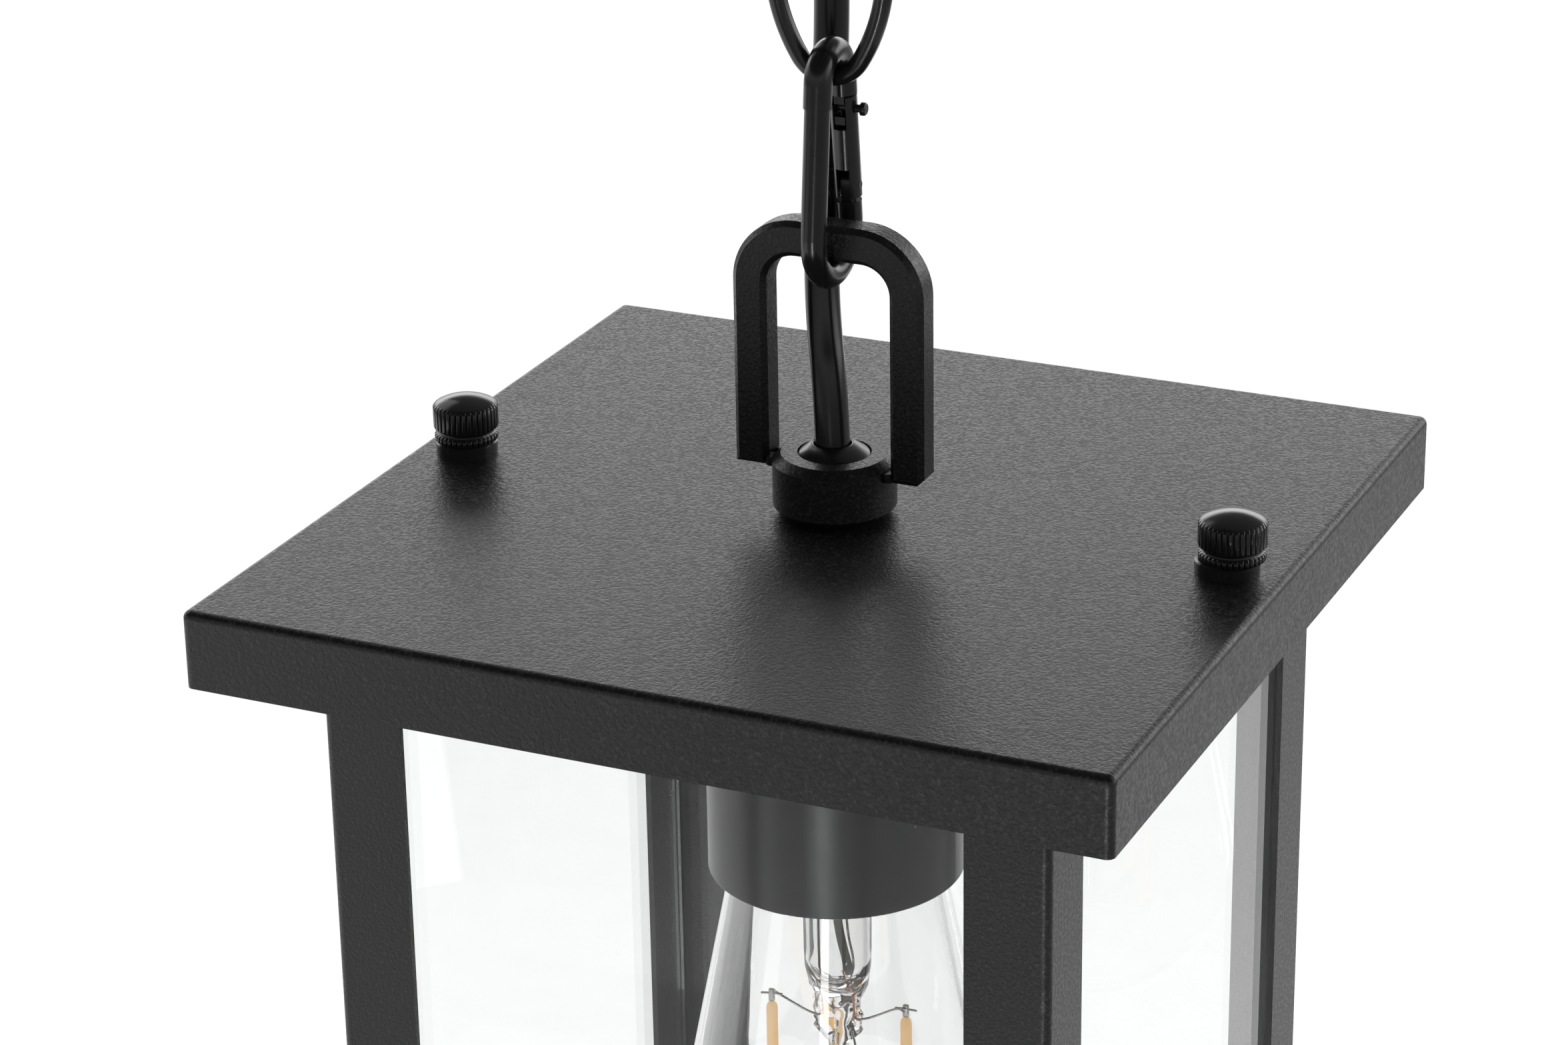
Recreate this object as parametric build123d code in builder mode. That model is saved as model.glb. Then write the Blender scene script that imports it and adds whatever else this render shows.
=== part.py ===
from build123d import *
import math
import os

os.makedirs("parts", exist_ok=True)

# A square glass lantern that hangs from a ceiling canopy on a short chain.
# Millimetres, +Z up. The origin is the centre of the ceiling bracket's top face.

# ---- driving dimensions -------------------------------------------------------------------
ROOF_WIDTH = 178.0
ROOF_RIM = 15.0
SHEET = 1.2
ROOF_BEND = 1.5
ROOF_CORNER = 1.6

CAGE_WIDTH = 142.6
CAGE_HEIGHT = 248.0
ANGLE_LEG = 16.0
TOP_RAIL_REACH = 24.0
ANGLE_BEND = 1.6
GLASS = 3.0

CANOPY_RADIUS = 60.0
CANOPY_DEPTH = 25.0
LOOP_REACH = 50.1
HOOK_INNER = 36.3
LINK_PITCH = 38.2
HANG_GAP = 0.3

HOOK_WIRE = 4.8
LINK_WIRE = 3.4
LINK_HALF_WIDTH = 11.0
LINK_END_RADIUS = 7.0
CABLE = 6.6

STUD_X = 78.6
STUD_RADIUS = 2.5
NUT_RADIUS = 6.35
NUT_HEIGHT = 8.95
WASHER_RADIUS = 6.0
WASHER_THICK = 2.65

BULB_RADIUS = 32.0
BULB_LENGTH = 142.0
GLASS_WALL = 0.8
COVER_RADIUS = 25.0
COVER_BOTTOM = 73.6

# ---- levels, from the ceiling down --------------------------------------------------------
CANOPY_FACE = -CANOPY_DEPTH
UPPER_BAR = CANOPY_FACE - LOOP_REACH
LEVEL_3 = UPPER_BAR - HOOK_INNER
LEVEL_2 = LEVEL_3 - LINK_PITCH
LEVEL_1 = LEVEL_2 - LINK_PITCH
LEVEL_0 = LEVEL_1 - LINK_PITCH
LOWER_BAR = LEVEL_0 - HOOK_INNER
ROOF = LOWER_BAR - LOOP_REACH
CAGE_TOP = ROOF - SHEET - HANG_GAP
CAGE_BOTTOM = CAGE_TOP - CAGE_HEIGHT


def finish(part, name):
    """Label one finished piece and write it to its own STEP file."""
    part.label = name
    export_step(part, f"parts/{name}.step")


# ---- loop: a round collar with a square bar bent to an arch and welded to it -----------------
COLLAR_RADIUS = 11.75
COLLAR_HEIGHT = 11.7
BUSHING_RADIUS = 7.0
BUSHING_SEAT = 7.7
NIPPLE_RADIUS = 5.0
NIPPLE_BORE = 3.6
ARCH_WIDTH = 38.4
BAR_WIDTH = 6.8
BAR_DEPTH = 6.5
ARCH_FOOT = 8.0
ARCH_OUTER_RADIUS = 12.6
BAR_EDGE = 1.0
COLLAR_EDGE = 1.6
WELD = 1.3
WELD_OFFSET = 2.2
WELD_HEIGHT = 1.8
FOOT_CORNER = 1.5
THREAD_GAP = 0.05

arch_top = LOOP_REACH + BAR_WIDTH

with BuildPart() as loop:
    with BuildSketch(Plane.XZ.offset(-BAR_DEPTH / 2)) as arch_outline:
        with Locations((0, (ARCH_FOOT + arch_top) / 2)):
            Rectangle(ARCH_WIDTH, arch_top - ARCH_FOOT)
        fillet(arch_outline.vertices().group_by(Axis.Y)[-1], ARCH_OUTER_RADIUS)
    extrude(amount=BAR_DEPTH)
    with BuildSketch(Plane.XZ.offset(-BAR_DEPTH)) as arch_window:
        with Locations((0, (ARCH_FOOT + LOOP_REACH) / 2)):
            Rectangle(ARCH_WIDTH - 2 * BAR_WIDTH, LOOP_REACH - ARCH_FOOT)
        fillet(arch_window.vertices().group_by(Axis.Y)[-1], ARCH_OUTER_RADIUS - BAR_WIDTH)
    extrude(amount=2 * BAR_DEPTH, mode=Mode.SUBTRACT)
    chamfer(edges().filter_by(Plane.XZ), BAR_EDGE)
    with BuildSketch(Plane.XZ.offset(-BAR_DEPTH)):
        with Locations((ARCH_WIDTH / 2, ARCH_FOOT)):
            Rectangle(FOOT_CORNER * math.sqrt(2), FOOT_CORNER * math.sqrt(2), rotation=45)
    extrude(amount=2 * BAR_DEPTH, mode=Mode.SUBTRACT)
    with BuildSketch():
        Circle(COLLAR_RADIUS)
    collar = extrude(amount=COLLAR_HEIGHT)
    chamfer(collar.edges().filter_by(GeomType.CIRCLE), COLLAR_EDGE)
    for side in (-1, 1):
        for front in (-1, 1):
            with BuildSketch(Plane.XY.offset(ARCH_FOOT + 0.2)):
                with Locations((side * COLLAR_RADIUS, front * WELD_OFFSET)):
                    Circle(WELD)
            extrude(amount=WELD_HEIGHT)
    with BuildSketch(Plane.XY.offset(BUSHING_SEAT)):
        Circle(BUSHING_RADIUS)
    extrude(amount=COLLAR_HEIGHT, mode=Mode.SUBTRACT)
    with BuildSketch(Plane.XY.offset(-1)):
        Circle(NIPPLE_RADIUS + THREAD_GAP)
    extrude(amount=COLLAR_HEIGHT, mode=Mode.SUBTRACT)

roof_place = Location((0, 0, ROOF))
canopy_place = Location((0, 0, CANOPY_FACE), (180, 0, 0))

finish(loop.part.moved(roof_place), "roof_loop")
finish(loop.part.moved(canopy_place), "canopy_loop")

# ---- cord bushing: a dished ring that fills the collar's recess ------------------------------
CABLE_HOLE = CABLE / 2 + 0.2
BUSHING_RIM = 0.7
BUSHING_FLOOR = 1.7
bushing_out = BUSHING_RADIUS - THREAD_GAP
bushing_top = COLLAR_HEIGHT - 0.2

with BuildPart() as bushing:
    with BuildSketch(Plane.XZ):
        with BuildLine():
            Polyline(
                (CABLE_HOLE, BUSHING_SEAT),
                (bushing_out, BUSHING_SEAT),
                (bushing_out, bushing_top),
                (bushing_out - BUSHING_RIM, bushing_top),
                (CABLE_HOLE + BUSHING_RIM, BUSHING_SEAT + BUSHING_FLOOR),
                (CABLE_HOLE, BUSHING_SEAT + BUSHING_FLOOR),
                close=True,
            )
        make_face()
    revolve(axis=Axis.Z)

finish(bushing.part.moved(roof_place), "roof_cord_bushing")
finish(bushing.part.moved(canopy_place), "canopy_cord_bushing")

# ---- snap hook: a wire bent to a pear, wide end down, with a sprung gate on its +Y leg -------
WIDE_RADIUS = 8.25
NARROW_RADIUS = 5.3
NOSE_WIRE = 5.3
BAR_TO_CENTRE = 4.95
BLADE = 2.0
BLADE_WIDTH = 4.1
PIN_PLAY = 0.5
GATE_RADIUS = 2.55
GATE_BORE = 1.75
GATE_SLIT = 2.6
SLIT_REACH = 1.95
TANG_WIDTH = 2.4
PIN_RADIUS = 0.75
PIN_PROUD = 1.0
PIN_HEAD = 1.25
HEAD_THICK = 1.0
SPRING_RADIUS = 0.9
SPRING_WIRE = 0.35
SPRING_LENGTH = 5.6
SPRING_PITCH = 1.4

# Places along the gate's leg, from the start of the wide arc.
BODY_START = 2.9
GATE_START = 3.9
RIVET_S = 6.1
BORE_START = 9.5
TONGUE_S = 18.5
PIN_S = 21.3
GATE_END = 23.9
NOSE_S = 24.3

wire_radius = HOOK_WIRE / 2
nose_radius = NOSE_WIRE / 2
notch_reach = HOOK_WIRE + 2.4
narrow_z = HOOK_INNER + HANG_GAP / 2 - BAR_TO_CENTRE - (NARROW_RADIUS - nose_radius)
tilt = math.asin((WIDE_RADIUS - NARROW_RADIUS) / narrow_z)
leg_length = math.sqrt(narrow_z**2 - (WIDE_RADIUS - NARROW_RADIUS) ** 2)
leg_out = Vector(0, math.cos(tilt), math.sin(tilt))
leg_up = Vector(0, -math.sin(tilt), math.cos(tilt))


def on_leg(s):
    """A point s along the gate leg's centre line from the wide arc."""
    return leg_out * WIDE_RADIUS + leg_up * s


def across_leg(s):
    """A plane square to the leg at s; its local x is global X and its local y points inward."""
    return Plane(origin=on_leg(s), x_dir=(1, 0, 0), z_dir=leg_up)


def along_x(s, x=0.0):
    """A plane whose normal is +X, centred on the leg's line at s."""
    point = on_leg(s)
    return Plane(origin=(x, point.Y, point.Z), x_dir=leg_out, z_dir=(1, 0, 0))


def front(point):
    """The same point on the plain front leg."""
    return Vector(0, -point.Y, point.Z)


with BuildPart() as hook_body:
    with BuildLine() as shank_path:
        Line(on_leg(BODY_START), on_leg(0))
        ThreePointArc(on_leg(0), (0, 0, -WIDE_RADIUS), front(on_leg(0)))
        Line(front(on_leg(0)), front(on_leg(NOSE_S)))
    with BuildSketch(across_leg(BODY_START)):
        Circle(wire_radius)
    sweep(path=shank_path.wires()[0])
    with BuildLine() as nose_path:
        Line(front(on_leg(NOSE_S)), front(on_leg(leg_length)))
        crest = (0, 0, narrow_z + NARROW_RADIUS)
        ThreePointArc(front(on_leg(leg_length)), crest, on_leg(leg_length))
        Line(on_leg(leg_length), on_leg(NOSE_S))
    with BuildSketch(Plane(origin=front(on_leg(NOSE_S)), z_dir=front(leg_up))):
        Circle(nose_radius)
    sweep(path=nose_path.wires()[0])
    with BuildSketch(along_x((TONGUE_S + NOSE_S + 1) / 2, -BLADE / 2)):
        Rectangle(BLADE_WIDTH, NOSE_S + 1 - TONGUE_S)
    extrude(amount=BLADE)
    with BuildSketch(along_x(PIN_S, -BLADE)):
        SlotOverall(notch_reach, 2 * (PIN_RADIUS + PIN_PLAY))
        with Locations((notch_reach / 2, 0)):
            Rectangle(2 * wire_radius, 3, mode=Mode.SUBTRACT)
    extrude(amount=2 * BLADE, mode=Mode.SUBTRACT)
    with BuildSketch(along_x((BODY_START + RIVET_S) / 2 + 0.4, -BLADE / 2)):
        RectangleRounded(TANG_WIDTH, RIVET_S - BODY_START + 2.4, TANG_WIDTH / 2.1)
    extrude(amount=BLADE)
    with BuildSketch(along_x(RIVET_S, -BLADE)):
        Circle(PIN_RADIUS + THREAD_GAP)
    extrude(amount=2 * BLADE, mode=Mode.SUBTRACT)

with BuildPart() as hook_gate:
    with BuildSketch(across_leg(GATE_START)):
        Circle(GATE_RADIUS)
    extrude(amount=GATE_END - GATE_START)
    with BuildSketch(across_leg(BORE_START)):
        Circle(GATE_BORE)
    extrude(amount=TONGUE_S - BORE_START, mode=Mode.SUBTRACT)
    with BuildSketch(across_leg(GATE_START - 1)):
        with Locations((0, SLIT_REACH - 2 * GATE_RADIUS)):
            Rectangle(GATE_SLIT, 4 * GATE_RADIUS)
    extrude(amount=BORE_START - GATE_START + 1.2, mode=Mode.SUBTRACT)
    with BuildSketch(across_leg(TONGUE_S - 0.9)):
        Rectangle(GATE_SLIT, 4 * GATE_RADIUS)
    extrude(amount=GATE_END - TONGUE_S + 2, mode=Mode.SUBTRACT)
    for s in (RIVET_S, PIN_S):
        with BuildSketch(along_x(s, -2 * GATE_RADIUS)):
            Circle(PIN_RADIUS)
        extrude(amount=4 * GATE_RADIUS, mode=Mode.SUBTRACT)

with BuildPart() as hook_pins:
    with BuildSketch(along_x(RIVET_S, -GATE_RADIUS)):
        Circle(PIN_RADIUS)
    extrude(amount=2 * GATE_RADIUS)
    with BuildSketch(along_x(PIN_S, -GATE_RADIUS)):
        Circle(PIN_RADIUS)
    extrude(amount=2 * GATE_RADIUS + PIN_PROUD)
    with BuildSketch(along_x(PIN_S, GATE_RADIUS + PIN_PROUD)):
        Circle(PIN_HEAD)
    head = extrude(amount=HEAD_THICK)
    fillet(head.faces().sort_by(Axis.X)[-1].edges(), HEAD_THICK / 2)

with BuildPart() as hook_spring:
    coil_start = across_leg(BORE_START + 0.8)
    with BuildLine() as coil_path:
        Helix(SPRING_PITCH, SPRING_LENGTH, SPRING_RADIUS, center=coil_start.origin, direction=leg_up)
    with BuildSketch(Plane(origin=coil_path.wires()[0] @ 0, z_dir=coil_path.wires()[0] % 0)):
        Circle(SPRING_WIRE / 2)
    sweep(path=coil_path.wires()[0])

lower_centre = LOWER_BAR + BAR_TO_CENTRE
upper_centre = UPPER_BAR - BAR_TO_CENTRE
hook_places = {
    "lower": Location((0, 0, lower_centre)),
    "upper": Location((0, 0, upper_centre), (180, 0, 0)),
}

for level, place in hook_places.items():
    finish(hook_body.part.moved(place), f"{level}_hook_body")
    finish(hook_gate.part.moved(place), f"{level}_hook_gate")
    finish(hook_pins.part.moved(place), f"{level}_gate_pins")
    finish(hook_spring.part.moved(place), f"{level}_gate_spring")

# ---- chain links: ovals of round wire, four tangent arcs, turned a quarter turn by turns -----
link_inner = LINK_PITCH + HANG_GAP
link_half = link_inner / 2 + LINK_WIRE / 2
end_rise = link_half - LINK_END_RADIUS
side_radius = (LINK_HALF_WIDTH**2 + end_rise**2 - LINK_END_RADIUS**2) / (
    2 * (LINK_HALF_WIDTH - LINK_END_RADIUS)
)
side_centre = LINK_HALF_WIDTH - side_radius
meet = math.atan2(end_rise, -side_centre)
meet_x = side_centre + side_radius * math.cos(meet)
meet_z = side_radius * math.sin(meet)
lean = (math.pi / 2 + meet) / 2
crown = (LINK_END_RADIUS * math.cos(lean), end_rise + LINK_END_RADIUS * math.sin(lean))

with BuildPart() as link:
    with BuildLine(Plane.XZ) as link_path:
        ThreePointArc((0, link_half), crown, (meet_x, meet_z))
        ThreePointArc((meet_x, meet_z), (LINK_HALF_WIDTH, 0), (meet_x, -meet_z))
        ThreePointArc((meet_x, -meet_z), (crown[0], -crown[1]), (0, -link_half))
    with BuildSketch(Plane(origin=(0, 0, link_half), x_dir=(0, 1, 0), z_dir=(1, 0, 0))):
        Circle(LINK_WIRE / 2)
    sweep(path=link_path.wires()[0])
    mirror(about=Plane.YZ)

link_levels = [(LEVEL_0, 0), (LEVEL_1, 90), (LEVEL_2, 0)]
for number, (bottom, turn) in enumerate(link_levels, start=1):
    place = Location((0, 0, bottom + LINK_PITCH / 2), (0, 0, turn))
    finish(link.part.moved(place), f"chain_link_{number}")

# ---- ceiling bracket: a slotted strap with two bent ears -------------------------------------
STRAP = 1.5
STRAP_HALF = 57.0
STRAP_WIDTH = 20.0
SLOT_SPACING = 88.9
SLOT_LENGTH = 14.0
SLOT_RADIUS = 2.3
EAR_DROP = 16.0
SIDE_SCREW_Z = -9.0
SIDE_SCREW_RADIUS = 2.0
SIDE_SCREW_TIP = 52.5
SIDE_SCREW_HEAD = 3.8
SIDE_HEAD_THICK = 2.6
WIRE_HOLE = 9.0
GROUND_X = 24.0
GROUND_RADIUS = 1.75

with BuildPart() as ceiling_bracket:
    with BuildSketch(Plane.XY.offset(-STRAP)):
        Rectangle(2 * STRAP_HALF, STRAP_WIDTH)
        with Locations((-SLOT_SPACING / 2, 0), (SLOT_SPACING / 2, 0)):
            SlotOverall(SLOT_LENGTH, 2 * SLOT_RADIUS, mode=Mode.SUBTRACT)
        Circle(WIRE_HOLE, mode=Mode.SUBTRACT)
        with Locations((GROUND_X, 0)):
            Circle(GROUND_RADIUS + THREAD_GAP, mode=Mode.SUBTRACT)
    extrude(amount=STRAP)
    for side in (-1, 1):
        with Locations((side * (STRAP_HALF - STRAP / 2), 0, -EAR_DROP / 2)):
            Box(STRAP, STRAP_WIDTH, EAR_DROP)
    with BuildSketch(Plane.YZ.offset(-STRAP_HALF - 1)):
        with Locations((0, SIDE_SCREW_Z)):
            Circle(SIDE_SCREW_RADIUS + THREAD_GAP)
    extrude(amount=2 * STRAP_HALF + 2, mode=Mode.SUBTRACT)
    fillet(edges().filter_by(Axis.Y).sort_by(Axis.Z)[-2:], STRAP)
finish(ceiling_bracket.part, "ceiling_bracket")

with BuildPart() as ground_screw:
    with BuildSketch(Plane.XY.offset(-STRAP - 6)):
        with Locations((GROUND_X, 0)):
            Circle(GROUND_RADIUS)
    extrude(amount=STRAP + 6)
    with BuildSketch(Plane.XY.offset(-STRAP - 2.4)):
        with Locations((GROUND_X, 0)):
            RegularPolygon(4.2, 6)
    extrude(amount=2.2)
finish(ground_screw.part, "ground_screw")

# ---- canopy: a shallow round cup, open at the ceiling ---------------------------------------
with BuildPart() as ceiling_canopy:
    with BuildSketch(Plane.XY.offset(CANOPY_FACE)):
        Circle(CANOPY_RADIUS)
    extrude(amount=CANOPY_DEPTH)
    fillet(faces().sort_by(Axis.Z)[0].edges(), 4)
    offset(amount=-SHEET, openings=faces().sort_by(Axis.Z)[-1])
    with BuildSketch(Plane.XY.offset(CANOPY_FACE - 1)):
        Circle(NIPPLE_RADIUS + 0.1)
    extrude(amount=3, mode=Mode.SUBTRACT)
    with BuildSketch(Plane.YZ.offset(-CANOPY_RADIUS - 1)):
        with Locations((0, SIDE_SCREW_Z)):
            Circle(SIDE_SCREW_RADIUS + 0.2)
    extrude(amount=2 * CANOPY_RADIUS + 2, mode=Mode.SUBTRACT)
finish(ceiling_canopy.part, "ceiling_canopy")

with BuildPart() as canopy_screws:
    with BuildSketch(Plane.YZ.offset(SIDE_SCREW_TIP)):
        with Locations((0, SIDE_SCREW_Z)):
            Circle(SIDE_SCREW_RADIUS)
    extrude(amount=CANOPY_RADIUS - SIDE_SCREW_TIP)
    with BuildSketch(Plane.YZ.offset(CANOPY_RADIUS)):
        with Locations((0, SIDE_SCREW_Z)):
            Circle(SIDE_SCREW_HEAD)
    head = extrude(amount=SIDE_HEAD_THICK)
    fillet(head.faces().sort_by(Axis.X)[-1].edges(), 1.8)
    with Locations((CANOPY_RADIUS + SIDE_HEAD_THICK, 0, SIDE_SCREW_Z)):
        Box(2, 0.9, 2 * SIDE_SCREW_HEAD, mode=Mode.SUBTRACT)
    mirror(about=Plane.YZ)
finish(canopy_screws.part, "canopy_screws")


# ---- nipples, lock washers and lock nuts ----------------------------------------------------
def tube(low, high, outer, inner):
    """A plain round tube on the lantern's axis."""
    with BuildPart() as ring:
        with BuildSketch(Plane.XY.offset(low)):
            Circle(outer)
            Circle(inner, mode=Mode.SUBTRACT)
        extrude(amount=high - low)
    return ring.part


def hex_nut(low, high, across_flats, inner):
    """A hexagon nut on the lantern's axis."""
    with BuildPart() as nut:
        with BuildSketch(Plane.XY.offset(low)):
            RegularPolygon(across_flats / 2, 6, major_radius=False)
            Circle(inner, mode=Mode.SUBTRACT)
        extrude(amount=high - low)
    return nut.part


LOCK_WASHER = 1.0
LOCK_NUT = 4.0
LOCK_FLATS = 14.0
LOCK_RADIUS = 8.5
NIPPLE_GRIP = 6.5
THREAD = NIPPLE_RADIUS + THREAD_GAP
canopy_inside = CANOPY_FACE + SHEET
washer_top = canopy_inside + LOCK_WASHER
canopy_nipple = tube(CANOPY_FACE - NIPPLE_GRIP, canopy_inside + 10, NIPPLE_RADIUS, NIPPLE_BORE)
finish(canopy_nipple, "canopy_nipple")
finish(tube(canopy_inside, washer_top, LOCK_RADIUS, THREAD), "canopy_lock_washer")
finish(hex_nut(washer_top, washer_top + LOCK_NUT, LOCK_FLATS, THREAD), "canopy_lock_nut")

cap_top = ROOF - 13.5
cover_inside = ROOF - 2 * SHEET
washer_low = cover_inside - LOCK_WASHER
finish(tube(cap_top - 2.5, ROOF + NIPPLE_GRIP, NIPPLE_RADIUS, NIPPLE_BORE), "roof_nipple")
finish(tube(washer_low, cover_inside, LOCK_RADIUS, THREAD), "roof_lock_washer")
finish(hex_nut(washer_low - LOCK_NUT, washer_low, LOCK_FLATS, THREAD), "roof_lock_nut")

# ---- roof: a folded pan with a bent-down rim ------------------------------------------------
with BuildPart() as roof_cover:
    with BuildSketch(Plane.XY.offset(ROOF - ROOF_RIM)):
        RectangleRounded(ROOF_WIDTH, ROOF_WIDTH, ROOF_CORNER)
    extrude(amount=ROOF_RIM)
    fillet(faces().sort_by(Axis.Z)[-1].edges(), ROOF_BEND)
    offset(amount=-SHEET, openings=faces().sort_by(Axis.Z)[0])
    with BuildSketch(Plane.XY.offset(ROOF - 4)):
        Circle(NIPPLE_RADIUS + 0.1)
        with Locations((-STUD_X, 0), (STUD_X, 0)):
            Circle(STUD_RADIUS + 0.5)
    extrude(amount=6, mode=Mode.SUBTRACT)
finish(roof_cover.part, "roof_cover")

# ---- thumb nuts and their washers -----------------------------------------------------------
STUD_TOP = ROOF + 8.2
nut_base = ROOF + WASHER_THICK
NUT_FOOT = 1.55
NUT_WAIST = 1.0
NUT_DOME = 1.6
NUT_EDGE = 0.4
NUT_BORE = 6.2
WASHER_SLACK = 1.0
RIGHT_WASHER_SHIFT = 0.9
dome_foot = NUT_RADIUS - NUT_EDGE
dome_radius = (dome_foot**2 + NUT_DOME**2) / (2 * NUT_DOME)
washer_shifts = {"left": (-STUD_X, 0.0), "right": (STUD_X, -RIGHT_WASHER_SHIFT)}
waist_low = nut_base + NUT_FOOT
waist_high = waist_low + NUT_WAIST
nut_top = nut_base + NUT_HEIGHT
band_top = nut_top - NUT_DOME

for side, (x, shift) in washer_shifts.items():
    with BuildPart() as thumb_washer:
        with BuildSketch(Plane.XY.offset(ROOF)):
            with Locations((x + shift, 0)):
                Circle(WASHER_RADIUS)
                Circle(STUD_RADIUS + WASHER_SLACK, mode=Mode.SUBTRACT)
        extrude(amount=WASHER_THICK)
        chamfer(faces().sort_by(Axis.Z)[-1].edges().sort_by(SortBy.RADIUS)[-1], NUT_EDGE)
    finish(thumb_washer.part, f"{side}_washer")

    with BuildPart() as thumb_nut:
        with BuildSketch(Plane.XZ):
            with BuildLine():
                Polyline(
                    (0, nut_base),
                    (NUT_RADIUS - NUT_EDGE, nut_base),
                    (NUT_RADIUS, nut_base + NUT_EDGE),
                    (NUT_RADIUS, waist_low - NUT_EDGE),
                    (NUT_RADIUS - NUT_EDGE, waist_low),
                    (NUT_RADIUS - 2 * NUT_EDGE, waist_low),
                    (NUT_RADIUS - 2 * NUT_EDGE, waist_high),
                    (NUT_RADIUS - NUT_EDGE, waist_high),
                    (NUT_RADIUS, waist_high + NUT_EDGE),
                    (NUT_RADIUS, band_top - NUT_EDGE),
                    (dome_foot, band_top),
                )
                RadiusArc((0, nut_top), (dome_foot, band_top), dome_radius)
                Line((0, nut_top), (0, nut_base))
            make_face()
        revolve(axis=Axis.Z)
        with BuildSketch(Plane.XY.offset(nut_base)):
            Circle(STUD_RADIUS + 2 * THREAD_GAP)
        extrude(amount=NUT_BORE, mode=Mode.SUBTRACT)
    finish(thumb_nut.part.moved(Location((x, 0, 0))), f"{side}_thumb_nut")

# ---- socket cover, lampholder --------------------------------------------------------------
with BuildPart() as socket_cover:
    with BuildSketch(Plane.XY.offset(ROOF - COVER_BOTTOM)):
        Circle(COVER_RADIUS)
    extrude(amount=COVER_BOTTOM - SHEET)
    offset(amount=-SHEET, openings=faces().sort_by(Axis.Z)[0])
    fillet(edges().filter_by(GeomType.CIRCLE).sort_by(Axis.Z)[-1], 2)
    fillet(edges().filter_by(GeomType.CIRCLE).group_by(Axis.Z)[0], 0.5)
    with BuildSketch(Plane.XY.offset(ROOF - 4)):
        Circle(NIPPLE_RADIUS + 0.1)
    extrude(amount=4, mode=Mode.SUBTRACT)
finish(socket_cover.part, "socket_cover")

BODY_RADIUS = 17.2
BODY_TOP = ROOF - 20.5
BODY_BOTTOM = ROOF - 52.0
SHELL_OUTER = 13.8
SHELL_INNER = 13.35

with BuildPart() as socket_cap:
    with BuildSketch(Plane.XY.offset(BODY_TOP - 8)):
        Circle(BODY_RADIUS + 1.8)
    extrude(amount=cap_top - BODY_TOP + 8)
    fillet(faces().sort_by(Axis.Z)[-1].edges(), 3)
    with BuildSketch(Plane.XY.offset(BODY_TOP - 9)):
        Circle(BODY_RADIUS + 0.2)
    extrude(amount=cap_top - BODY_TOP + 9 - 1.6, mode=Mode.SUBTRACT)
    with BuildSketch(Plane.XY.offset(cap_top - 3)):
        Circle(THREAD)
    extrude(amount=4, mode=Mode.SUBTRACT)
finish(socket_cap.part, "socket_cap")

with BuildPart() as socket_body:
    with BuildSketch(Plane.XY.offset(BODY_BOTTOM)):
        Circle(BODY_RADIUS)
    extrude(amount=BODY_TOP - BODY_BOTTOM)
    with BuildSketch(Plane.XY.offset(BODY_BOTTOM)):
        Circle(SHELL_OUTER + 0.1)
    extrude(amount=BODY_TOP - BODY_BOTTOM - 2, mode=Mode.SUBTRACT)
finish(socket_body.part, "socket_body")

finish(tube(BODY_BOTTOM + 2, BODY_TOP - 2, SHELL_OUTER, SHELL_INNER), "screw_shell")

SOCKET_FLOOR = 2.0
contact_top = BODY_TOP - SOCKET_FLOOR
with BuildPart() as centre_contact:
    with BuildSketch(Plane.XZ.offset(-2.5)):
        with BuildLine():
            Polyline(
                (-5, contact_top),
                (5, contact_top),
                (5, contact_top - 0.4),
                (0.6, contact_top - 0.4),
                (1.6, contact_top - 1.3),
                (-4, contact_top - 1.3),
                (-4, contact_top - 1.0),
                (0.6, contact_top - 1.0),
                (-0.2, contact_top - 0.4),
                (-5, contact_top - 0.4),
                close=True,
            )
        make_face()
    extrude(amount=5)
finish(centre_contact.part, "centre_contact")

TERMINAL_X = 11.0
TERMINAL_HEAD = 1.6
with BuildPart() as terminal_screws:
    with BuildSketch(Plane.XY.offset(BODY_TOP)):
        with Locations((-TERMINAL_X, 0), (TERMINAL_X, 0)):
            Circle(3.0)
    extrude(amount=TERMINAL_HEAD)
    slot_z = BODY_TOP + TERMINAL_HEAD
    with Locations((-TERMINAL_X, 0, slot_z), (TERMINAL_X, 0, slot_z)):
        Box(6.4, 0.9, 1.0, mode=Mode.SUBTRACT)
finish(terminal_screws.part, "terminal_screws")

# ---- power cable: from the lampholder cap up through the roof loop, beside the chain ---------
CABLE_START = cap_top - 2.2
CABLE_END = canopy_inside + 9.7
cable_points = [
    Vector(0, 0, CABLE_START),
    Vector(0, 0, ROOF + 17),
    Vector(-6.3, 8.2, ROOF + 41),
    Vector(-6.2, 11.5, ROOF + 66),
    Vector(-6.0, 15.0, ROOF + 90),
    Vector(-7.4, 17.2, ROOF + 114),
    Vector(-9.4, 16.8, ROOF + 140),
    Vector(-10.4, 15.6, ROOF + 168),
    Vector(-10.2, 15.8, ROOF + 196),
    Vector(-9.0, 15.2, ROOF + 222),
    Vector(-6.6, 10.4, ROOF + 246),
    Vector(0, 0, CANOPY_FACE - 17),
    Vector(0, 0, CABLE_END),
]
FILL = 0.45
cable_radii = []
for before, corner, after in zip(cable_points, cable_points[1:], cable_points[2:]):
    shorter = min((corner - before).length, (after - corner).length)
    turn = math.radians((corner - before).get_angle(after - corner))
    cable_radii.append(FILL * shorter / math.tan(turn / 2))

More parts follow.
